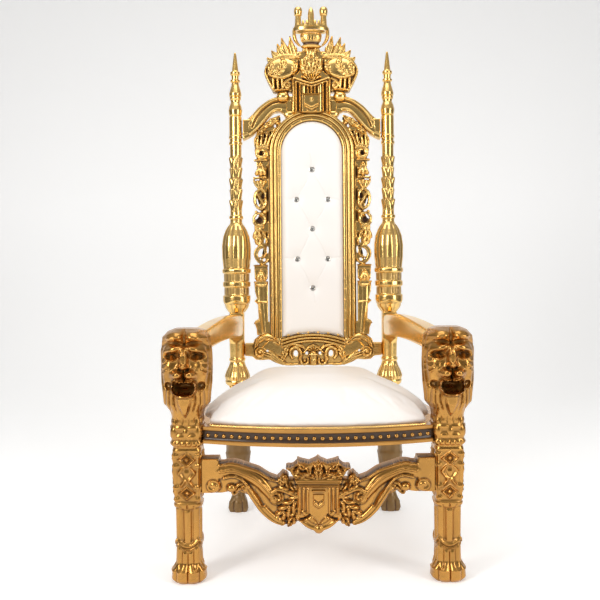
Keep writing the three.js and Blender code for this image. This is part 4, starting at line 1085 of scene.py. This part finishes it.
# ---------------------------------------------------------------------------------------------------------------
# Pierced side strips: one fretted board each side of the frame, sawn through and carved as a chain of scrolls,
# cups, rings and leaves, with a leafy corner that runs up between the round head and the crest rail.
FRET_FRONT, FRET_BACK, FRET_IN = 304, 322, 154


def head_plate(x, z):
    """The corner between the round head, the crest rail's lower edge and the strip's outer side."""
    inside, height = plate([(100, 1300), (114, 1440), (150, 1428), (172, 1402), (196, 1376), (209, 1345), (205, 1296),
                            (154, 1280)], 1.0, 2)(x, z)
    return np.minimum(inside, np.hypot(x, z - ARCH_Z) - FRET_IN), height


fret_marks = [
    head_plate,
    plate([(154, 632.8), (154, 1310), (158.5, 1310), (158.5, 632.8)], 5, 2),
    plate([(154, 905), (154, 1300), (200, 1300), (202, 1260), (190, 1200), (204, 1150), (186, 1092), (206, 1050),
           (190, 1000), (178, 960), (190, 905)], 1.0, 2),
    acanthus([(204, 1330), (200, 1352), (182, 1384), (152, 1412), (120, 1436)], 11, 9, 6, 2),
    strap([(198, 1322), (197, 1342), (192, 1364)], [6, 5, 2], 8, 3), strap([(186, 1324), (183, 1346), (180, 1376)], [6, 5, 2], 9, 3),
    strap([(174, 1326), (166, 1350), (160, 1382)], [6, 5, 2], 9, 3),
    strap([(163, 1324), (150, 1360), (136, 1392)], [5, 5, 2], 8, 3),
    strap([(152, 1352), (138, 1380), (118, 1404)], [4, 5, 3], 8, 2), strap([(150, 1398), (134, 1414), (122, 1420)], [3, 5, 3], 8, 3),
    boss((124, 1410), (7, 6), 10), boss((148, 1402), (6, 6), 9),
    volute((182, 1302), 25, 9, 1.3, 0.1, 1, 3), strap([(158, 1318), (180, 1330), (205, 1312)], [4, 5, 4], 8, 4),
    strap([(164, 1276), (208, 1276)], [4, 4], 7, 3), shell((186, 1274), 56, 3, -90, 27, 10, 2), boss((186, 1240), (10, 14), 11),
    strap([(166, 1214), (206, 1212)], [4, 4], 7, 3), strap([(196, 1180), (208, 1194), (213, 1216)], [7, 5, 1.5], 7, 3),
    shell((186, 1166), 40, 3, 90, 34, 8, 2),
    strap([(188, 1172), (204, 1158), (209, 1134), (203, 1110), (188, 1098)], [5, 6, 6, 6, 5], 9, 3, 3),
    strap([(188, 1172), (173, 1160), (167, 1136), (172, 1112), (186, 1098)], [5, 6, 6, 6, 5], 9, 3, 3),
    strap([(172, 1108), (186, 1132), (202, 1160)], [4, 6, 4], 8, 2), boss((172, 1088), (9, 8), 11), boss((204, 1088), (6, 6), 8),
    strap([(203, 1082), (213, 1068), (212, 1050), (198, 1039), (180, 1044), (172, 1060), (180, 1078), (194, 1083)],
          [5, 6, 6, 6, 6, 6, 6, 5], 10, 3, 3), strap([(210, 1056), (196, 1062), (186, 1074)], [3, 4, 3], 7, 1),
    plate([(174, 1046), (210, 1044), (212, 1030), (176, 1026)], 8, 4),
    acanthus([(196, 1032), (201, 1006), (196, 980), (186, 958)], 17, 9, 3, 2),
    strap([(188, 1026), (172, 1004), (162, 976)], [4, 4, 2], 7, 2), strap([(182, 1008), (170, 986), (164, 958)], [3, 3, 2], 7, 2),
    strap([(170, 956), (186, 962), (202, 950), (206, 930), (196, 910), (180, 898)], [4, 7, 8, 8, 7, 4], 9, 3, 2),
    strap([(166, 940), (176, 926), (192, 922)], [3, 4, 3], 8, 2), strap([(160, 916), (170, 904), (184, 900)], [3, 4, 3], 7, 2),
    plate([(164, 897), (212, 897), (212, 879), (164, 879)], 7, 3), strap([(163, 893), (213, 893)], [3, 3], 5, 5),
    plate([(163, 880), (212, 880), (211, 846), (203, 834), (190, 828), (174, 834), (164, 846)], 4, 4),
    shell((188, 884), 50, 3, -90, 27, 8, 3), boss((188, 858), (8, 13), 11),
    strap([(163, 834), (176, 822), (200, 822), (213, 834)], [3, 4, 4, 3], 7, 2),
    plate([(163, 836), (213, 836), (211, 800), (204, 774), (214, 764), (201, 752), (198, 700), (214, 686), (206, 664),
           (204, 640), (196, 641), (166, 633), (154, 632.8), (154, 684), (163, 690)], 5, 4),
    strap([(188, 818), (188, 770), (182, 700), (178, 650)], [13, 11, 9, 8], 4, 3), strap([(165, 760), (200, 762)], [3, 3], 5, 4),
    strap([(198, 694), (208, 690), (215, 682)], [5, 4, 1.5], 6, 3),
]
fret_holes = [
    boss((133, 1401), (4, 7), 1), boss((174, 982), (2.5, 9), 1), boss((163, 950), (3.5, 14), 1), boss((176, 914), (5, 6), 1),
    plate([(158.5, 690), (162.5, 690), (162.5, 897), (158.5, 897)], 1, 1),
]
# Pits: blind recesses sunk into the strip, also painted fully dark as painted shade.
fret_pits = [
    boss((171, 1366), (4.5, 11), 1), boss((190, 1360), (3.6, 9), 1), boss((113, 1426), (7, 6), 1), boss((150, 1376), (4, 9), 1),
    boss((184, 1301), (8, 9), 1), boss((179, 1146), (7, 12), 1), boss((197, 1122), (7, 12), 1), boss((193, 1059), (12, 12), 1),
    boss((166, 1004), (4, 14), 1), boss((183, 942), (8, 10), 1), boss((163, 1150), (4, 32), 1), boss((163, 1232), (4, 30), 1),
    boss((163, 1072), (4, 24), 1),
]
part = carved_board((96, 216, 632.8, 1441), 1.8, FRET_FRONT, FRET_BACK, fret_marks, fret_holes, even=False, pits=fret_pits)
part = (leaned(part[0]), *part[1:])
for side, strip in (("left", mirrored(part)), ("right", part)):
    piece = assemble(f"pierced_strip_{side}", [strip], gilt)
    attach(piece, "root")
    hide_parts(f"fret_{side}")

# ---------------------------------------------------------------------------------------------------------------
# Crest rail: a heavy hollow-fronted board that arches from post to post over the round head, with a raised rim
# along its top edge and a square stub tenoned into each post.
CREST_FRONT, CREST_BACK, CREST_TOP = 300, 332, 1507
OUTER = [(104, 1507), (128, 1503), (156, 1493), (191, 1468), (216, 1441), (234, 1424)]


def crest_shape(x, z):
    """The board's outline, less the round head that the frame fills."""
    inside, height = plate([(-20, 1507), *OUTER, (250, 1420), (250, 1349), (232, 1357), (212, 1369), (196, 1386),
                            (184, 1400), (170, 1417), (152, 1437), (134, 1450), (116, 1452), (104, 1446), (96, 1432),
                            (-20, 1432)], 6, 3)(x, z)
    return np.minimum(inside, np.hypot(x, z - ARCH_Z) - FRET_IN), height


crest_marks = [
    crest_shape,
    strap([(96, 1500), (128, 1497), (154, 1487), (187, 1463), (210, 1438), (219, 1420)], [6, 7, 7, 7, 6, 4], 9, 1),
    strap([(100, 1470), (130, 1472), (160, 1450), (190, 1416), (222, 1386), (244, 1372)], [14, 16, 17, 17, 15, 8], 3, 5),
    plate([(222, 1424), (250, 1424), (250, 1368), (228, 1374)], 9, 4),
    plate([(70, 1492), (92, 1492), (92, 1452), (70, 1452)], 9.5, 3),
    boss((76, 1442), (22, 13), 10),
]
crest_scored = [
    lines([[(92, 1489), (126, 1486), (150, 1477), (180, 1454), (202, 1428), (216, 1396)]], 3.2, 8),
    lines([[(112, 1458), (134, 1456), (152, 1443), (172, 1420), (196, 1392), (222, 1368)]], 2.4, 3),
]
part = carved_board((0, 250, 1346, 1507.4), 1.9, CREST_FRONT, CREST_BACK, crest_marks, (), crest_scored)
piece = assemble("carved_crest_rail", [(leaned(part[0]), *part[1:])], gilt)
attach(piece, "root")
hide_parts("crest_rail")

# ---------------------------------------------------------------------------------------------------------------
# Cartouche: one thick carved block planted on the crest rail. A fluted shield hangs under a small shell and a
# fall of feathers; on each side a domed lobe of mantling carries a spray of flames and stands on a ball.
CARTOUCHE_FRONT, CARTOUCHE_BACK = 292, 320
flames = [((60, 1650), (70, 1684), (76, 1718)), ((84, 1650), (98, 1684), (106, 1713)),
          ((100, 1648), (114, 1672), (121, 1692)), ((118, 1642), (133, 1656), (142, 1667)),
          ((134, 1628), (148, 1634), (158, 1642))]
cartouche_marks = [
    plate([(-20, 1443.4), (69, 1443.4), (69, 1520), (124, 1519), (139, 1521), (156, 1556), (168, 1590), (164, 1612),
           (147, 1638), (104, 1652), (60, 1662), (34, 1668), (30, 1676), (-20, 1676)], 6, 3),
    plate([(-20, 1443.4), (68, 1443.4), (69, 1566), (62, 1568), (0, 1548), (-20, 1548)], 18, 3),
    strap([(-8, 1549), (0, 1547), (32, 1556), (62, 1567)], [4, 4, 4, 4], 9, 17),
    strap([(-8, 1539), (0, 1537), (30, 1546), (54, 1554)], [3, 3, 3, 3], 8, 17),
    strap([(65, 1566), (66, 1444)], [4, 4], 8, 17), strap([(56, 1552), (56, 1444)], [4, 4], 9, 17),
    strap([(41, 1548), (41, 1444)], [4, 4], 9, 17), strap([(33, 1542), (33, 1444)], [2.4, 2.4], 8, 15),
    *[strap([(a, 1537), (a, 1513)], [3, 3], 8, 16) for a in (0, 13, 26)], strap([(-10, 1510), (30, 1510)], [3, 3], 8, 17),
    plate([(-20, 1506), (28, 1506), (28, 1466), (0, 1454), (-20, 1454)], 21, 3), boss((0, 1488), (10, 12), 26),
    *[strap([(-8, 1464 - 7 * k), (0, 1461 - 7 * k), (24, 1473 - 7 * k)], [2.6, 2.6, 2], 5, 20) for k in range(2)],
    boss((14, 1449), (8, 6), 24), boss((32, 1448), (6, 5), 22),
    shell((0, 1551), 44, 7, 90, 62, 17, 6),
    acanthus([(14, 1586), (22, 1604), (26, 1626), (16, 1644)], 17, 11, 3, 11),
    acanthus([(0, 1588), (-2, 1608), (4, 1632), (2, 1650)], 17, 12, 2, 13),
    acanthus([(26, 1590), (35, 1612), (34, 1634)], 12, 10, 3, 8),
    strap([(14, 1640), (10, 1656), (16, 1672)], [9, 9, 5], 10, 9), strap([(-6, 1644), (0, 1660), (-4, 1674)], [9, 8, 5], 10, 10),
    boss((106, 1602), (62, 46), 19), strap([(44, 1642), (72, 1650), (104, 1649), (140, 1636), (163, 1608)], [4, 5, 5, 5, 4], 7, 8),
    strap([(162, 1612), (166, 1590), (152, 1556), (138, 1528)], [3, 5, 5, 4], 9, 6),
    acanthus([(128, 1582), (112, 1596), (100, 1618), (104, 1640)], 15, 9, 4, 16),
    acanthus([(150, 1584), (146, 1602), (132, 1620)], 12, 8, 3, 13),
    acanthus([(66, 1586), (60, 1604), (50, 1622)], 12, 8, 3, 13),
    strap([(152, 1578), (112, 1568), (76, 1578), (58, 1592)], [3, 5, 5, 3], 8, 14),
    strap([(56, 1594), (50, 1606), (54, 1618)], [3, 4, 2], 7, 12),
    *[strap([(a, 1566), (a - 2, 1534)], [6, 5], 9, 8) for a in (122, 138, 106)],
    strap([(74, 1566), (92, 1556), (100, 1538)], [5, 6, 4], 9, 7), volute((84, 1542), 15, 8, 1.2, 0, 1, 7),
    strap([(132, 1524), (114, 1526), (84, 1526)], [5, 6, 4], 9, 7),
    boss((103, 1503), (24, 18), 19), boss((92, 1514), (9, 7), 20),
    *[strap(path, [13, 13, 3.5], 13, 2, 6) for path in flames],
    strap([(44, 1658), (60, 1650), (90, 1650), (130, 1640)], [9, 12, 14, 8], 8, 3),
    volute((62, 1674), 13, 9, 1.2, 0.3, -1, 3), plate([(-20, 1676), (31, 1676), (31, 1662), (-20, 1662)], 12, 4),
]
cartouche_scored = [
    lines([[(48.5, 1546), (48.5, 1446)]], 3, 7), lines([[(-6, 1527), (0, 1526)], [(6.5, 1534), (6.5, 1515)],
                                                        [(19.5, 1536), (19.5, 1515)]], 2.6, 6),
    lines([[(74, 1519), (100, 1523), (126, 1521)]], 3.2, 9),
    lines([[(130, 1564), (130, 1536)], [(114, 1562), (113, 1536)]], 2.6, 8),
    lines([[(46, 1632), (44, 1612), (48, 1596), (70, 1574)]], 3.2, 8),
]
part = carved_board((0, 171, 1443.4, 1722), 1.6, CARTOUCHE_FRONT, CARTOUCHE_BACK, cartouche_marks, (), cartouche_scored)
piece = assemble("carved_cartouche", [(leaned(part[0]), *part[1:])], gilt)
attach(piece, "root")
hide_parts("cartouche")

# ---------------------------------------------------------------------------------------------------------------
# Crown: carved in the round and flattened front to back. A saucer carries a deep bowl; side straps hold a ring
# clear of it, and two knobbed posts, a cone and small battlements stand on the ring.
CROWN_Y, CROWN_DEPTH = 292, 0.55


def lathe(profile, at, columns=40, flat=1.0, shade=None):
    """Rings turned about an upright axis from (radius, z) pairs, squeezed front to back."""
    angle = np.linspace(0, 2 * math.pi, columns, endpoint=False)
    r, z = np.asarray(profile, float).T[:, :, None]
    dark = None if shade is None else np.asarray(shade, float)[:, None] + 0 * angle
    return capped(np.stack([at[0] + r * np.cos(angle), at[1] + flat * r * np.sin(angle), z + 0 * angle], -1), dark)


def hoop(section, at, columns=64, flat=1.0):
    """A closed ring: a closed (radius, z) section carried once round an upright axis."""
    angle = np.linspace(0, 2 * math.pi, columns, endpoint=False)[:, None]
    r, z = np.asarray(section, float).T[:, None]
    points = np.stack([at[0] + r * np.cos(angle), at[1] + flat * r * np.sin(angle), z + 0 * angle], -1)
    count = len(section)
    row = np.arange(columns)[:, None]
    column = np.arange(count)[None]
    after, beside = (row + 1) % columns, (column + 1) % count
    faces = np.stack([row * count + column, after * count + column, after * count + beside, row * count + beside], -1)
    flat_points = points.reshape(-1, 3)
    faces = faces.reshape(-1, 4)
    a, b, c, d = (flat_points[faces[:, k]] for k in range(4))
    volume = np.einsum("ij,ij->i", a, np.cross(b, c) + np.cross(c, d)).sum()
    return flat_points, faces if volume > 0 else faces[:, ::-1], np.zeros(len(flat_points))


def rod(points, widths, columns=14, flat=1.0):
    """A round bar along a smooth upright curve in the plane of the back: rings lie level."""
    line = curve(points, 8 * len(points))
    wide = np.interp(np.linspace(0, 1, len(line)), np.linspace(0, 1, len(widths)), widths)[:, None]
    angle = np.linspace(0, 2 * math.pi, columns, endpoint=False)[None]
    return capped(np.stack([line[:, :1] + wide * np.cos(angle), CROWN_Y + flat * wide * np.sin(angle),
                            line[:, 1:] + 0 * angle], -1))


middle = (0, CROWN_Y)
crown_parts = [
    # The saucer's last list is painted shade: the bowl's narrow waist is painted dark.
    lathe([(26, 1677.4), (34, 1679), (38, 1684), (33, 1688), (28, 1691), (29, 1696), (33, 1700), (36, 1708), (39, 1716),
           (40, 1723), (38, 1728), (30, 1732), (16, 1735), (3, 1736.5)], middle, 48, CROWN_DEPTH,
          [0, 0, 0, 0.5, 1, 1, 0.3, 0, 0, 0, 0, 0.3, 0.3, 0]),
    hoop([(50, 1739), (65, 1738), (66.5, 1742), (66, 1749), (58, 1751), (51, 1750)], middle, 64, CROWN_DEPTH),
    hoop([(52, 1750.5), (63, 1750.5), (61, 1757), (54, 1757)], middle, 64, CROWN_DEPTH),
    lathe([(14, 1749), (13, 1758), (11.5, 1770), (11, 1792), (9, 1806), (5, 1814), (1, 1817)], (0, CROWN_Y - 29), 20, 0.8),
]
for sign in (-1, 1):
    crown_parts.append(rod([(sign * 40, 1686), (sign * 54, 1704), (sign * 60, 1722), (sign * 61, 1744)], [5, 7, 7, 6], 14, 1.6))
    crown_parts.append(lathe([(15, 1747), (14.5, 1756), (12, 1766), (11, 1784), (10.5, 1794), (14, 1797), (14.5, 1799), (13, 1800.5),
                              (14.5, 1805), (15.5, 1812), (14.5, 1820), (11, 1825.5), (5, 1828)], (sign * 46, CROWN_Y), 28))
    for at, half in ((14, 6.5), (28, 5.5)):
        crown_parts.append(lathe([(half + 1, 1748), (half, 1756), (half - 1, 1768), (half - 3, 1771)],
                                 (sign * at, CROWN_Y - 30 + 0.06 * at), 12, 0.7))
ribs = [lathe([(2.0, 1700), (2.6, 1716), (2.0, 1730)], (37 * math.cos(t), CROWN_Y + 20 * math.sin(t)), 8)
        for t in np.linspace(math.pi * 1.12, math.pi * 1.88, 9)]
piece = assemble("carved_crown", [(leaned(points), faces, shade) for points, faces, shade in crown_parts + ribs], gilt, 50)
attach(piece, "root")
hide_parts("crown")

# ---------------------------------------------------------------------------------------------------------------
# Studio: a white paper floor swept up behind the chair, a soft box at each side, one overhead, and a room that is
# dim at eye level and light above, which gives the metal its dark and bright parts.
KEY_POWER, FILL_POWER, TOP_POWER = 52, 30, 26

paper = bpy.data.materials.new("white_paper")  # matt seamless paper, faintly clouded
paper.use_nodes = True
shader = paper.node_tree.nodes["Principled BSDF"]
place = node(paper.node_tree, "ShaderNodeTexCoord").outputs["Object"]
cloud = node(paper.node_tree, "ShaderNodeTexNoise", Vector=place, Scale=2.0, Detail=1.0).outputs["Fac"]
matt = node(paper.node_tree, "ShaderNodeMath", {"operation": "MULTIPLY_ADD"}, i0=cloud, i1=0.05, i2=0.88)
paper.node_tree.links.new(matt.outputs[0], shader.inputs["Roughness"])
shader.inputs["Base Color"].default_value = linear("FDFDFD")
shader.inputs["Emission Color"].default_value = linear("FFFFFF")
shader.inputs["Emission Strength"].default_value = 0.22

bend = np.linspace(0, math.pi / 2, 16)
sweep = np.concatenate([[[-7, 0]], np.stack([2.2 + 1.4 * np.sin(bend), 1.4 * (1 - np.cos(bend))], -1), [[3.6, 7]]])
across = np.array([-7.0, 7.0])
spots = np.stack([across[None, :] + 0 * sweep[:, :1], sweep[:, :1] + 0 * across, sweep[:, 1:] + 0 * across], -1)
backdrop_mesh = bpy.data.meshes.new("paper_sweep")
backdrop_mesh.from_pydata(spots.reshape(-1, 3).tolist(), [], grid_faces(len(sweep), 2, False).tolist())
backdrop_mesh.shade_smooth()
backdrop_mesh.materials.append(paper)
backdrop = bpy.data.objects.new("paper_sweep", backdrop_mesh)
bpy.context.scene.collection.objects.link(backdrop)

room = bpy.data.worlds.new("studio_room")
bpy.context.scene.world = room
room.use_nodes = True
toward = node(room.node_tree, "ShaderNodeTexCoord").outputs["Generated"]
height = node(room.node_tree, "ShaderNodeSeparateXYZ", Vector=toward).outputs["Z"]
glow = node(room.node_tree, "ShaderNodeMapRange", Value=height, From_Min=-0.1, From_Max=0.8, To_Min=0.07, To_Max=0.50)
room.node_tree.links.new(glow.outputs[0], room.node_tree.nodes["Background"].inputs["Strength"])
room.node_tree.nodes["Background"].inputs["Color"].default_value = (1.0, 0.98, 0.95, 1)


def soft_box(name, at, aim, size, power):
    """A rectangular area light turned to face a point."""
    light = bpy.data.lights.new(name, "AREA")
    light.shape = "RECTANGLE"
    light.size, light.size_y = size
    light.energy = power
    lamp = bpy.data.objects.new(name, light)
    lamp.location = at
    direction = Matrix.Translation(aim).to_translation() - lamp.location
    lamp.rotation_euler = direction.to_track_quat("-Z", "Y").to_euler()
    bpy.context.scene.collection.objects.link(lamp)


soft_box("key", (-2.1, -2.3, 2.1), (0, 0, 1.0), (0.9, 1.8), KEY_POWER)
soft_box("fill", (2.3, -1.9, 1.6), (0, 0, 0.9), (0.8, 2.0), FILL_POWER)
soft_box("top", (0, -0.3, 3.3), (0, 0, 0), (1.8, 1.8), TOP_POWER)
bpy.context.scene.view_settings.view_transform = "Standard"
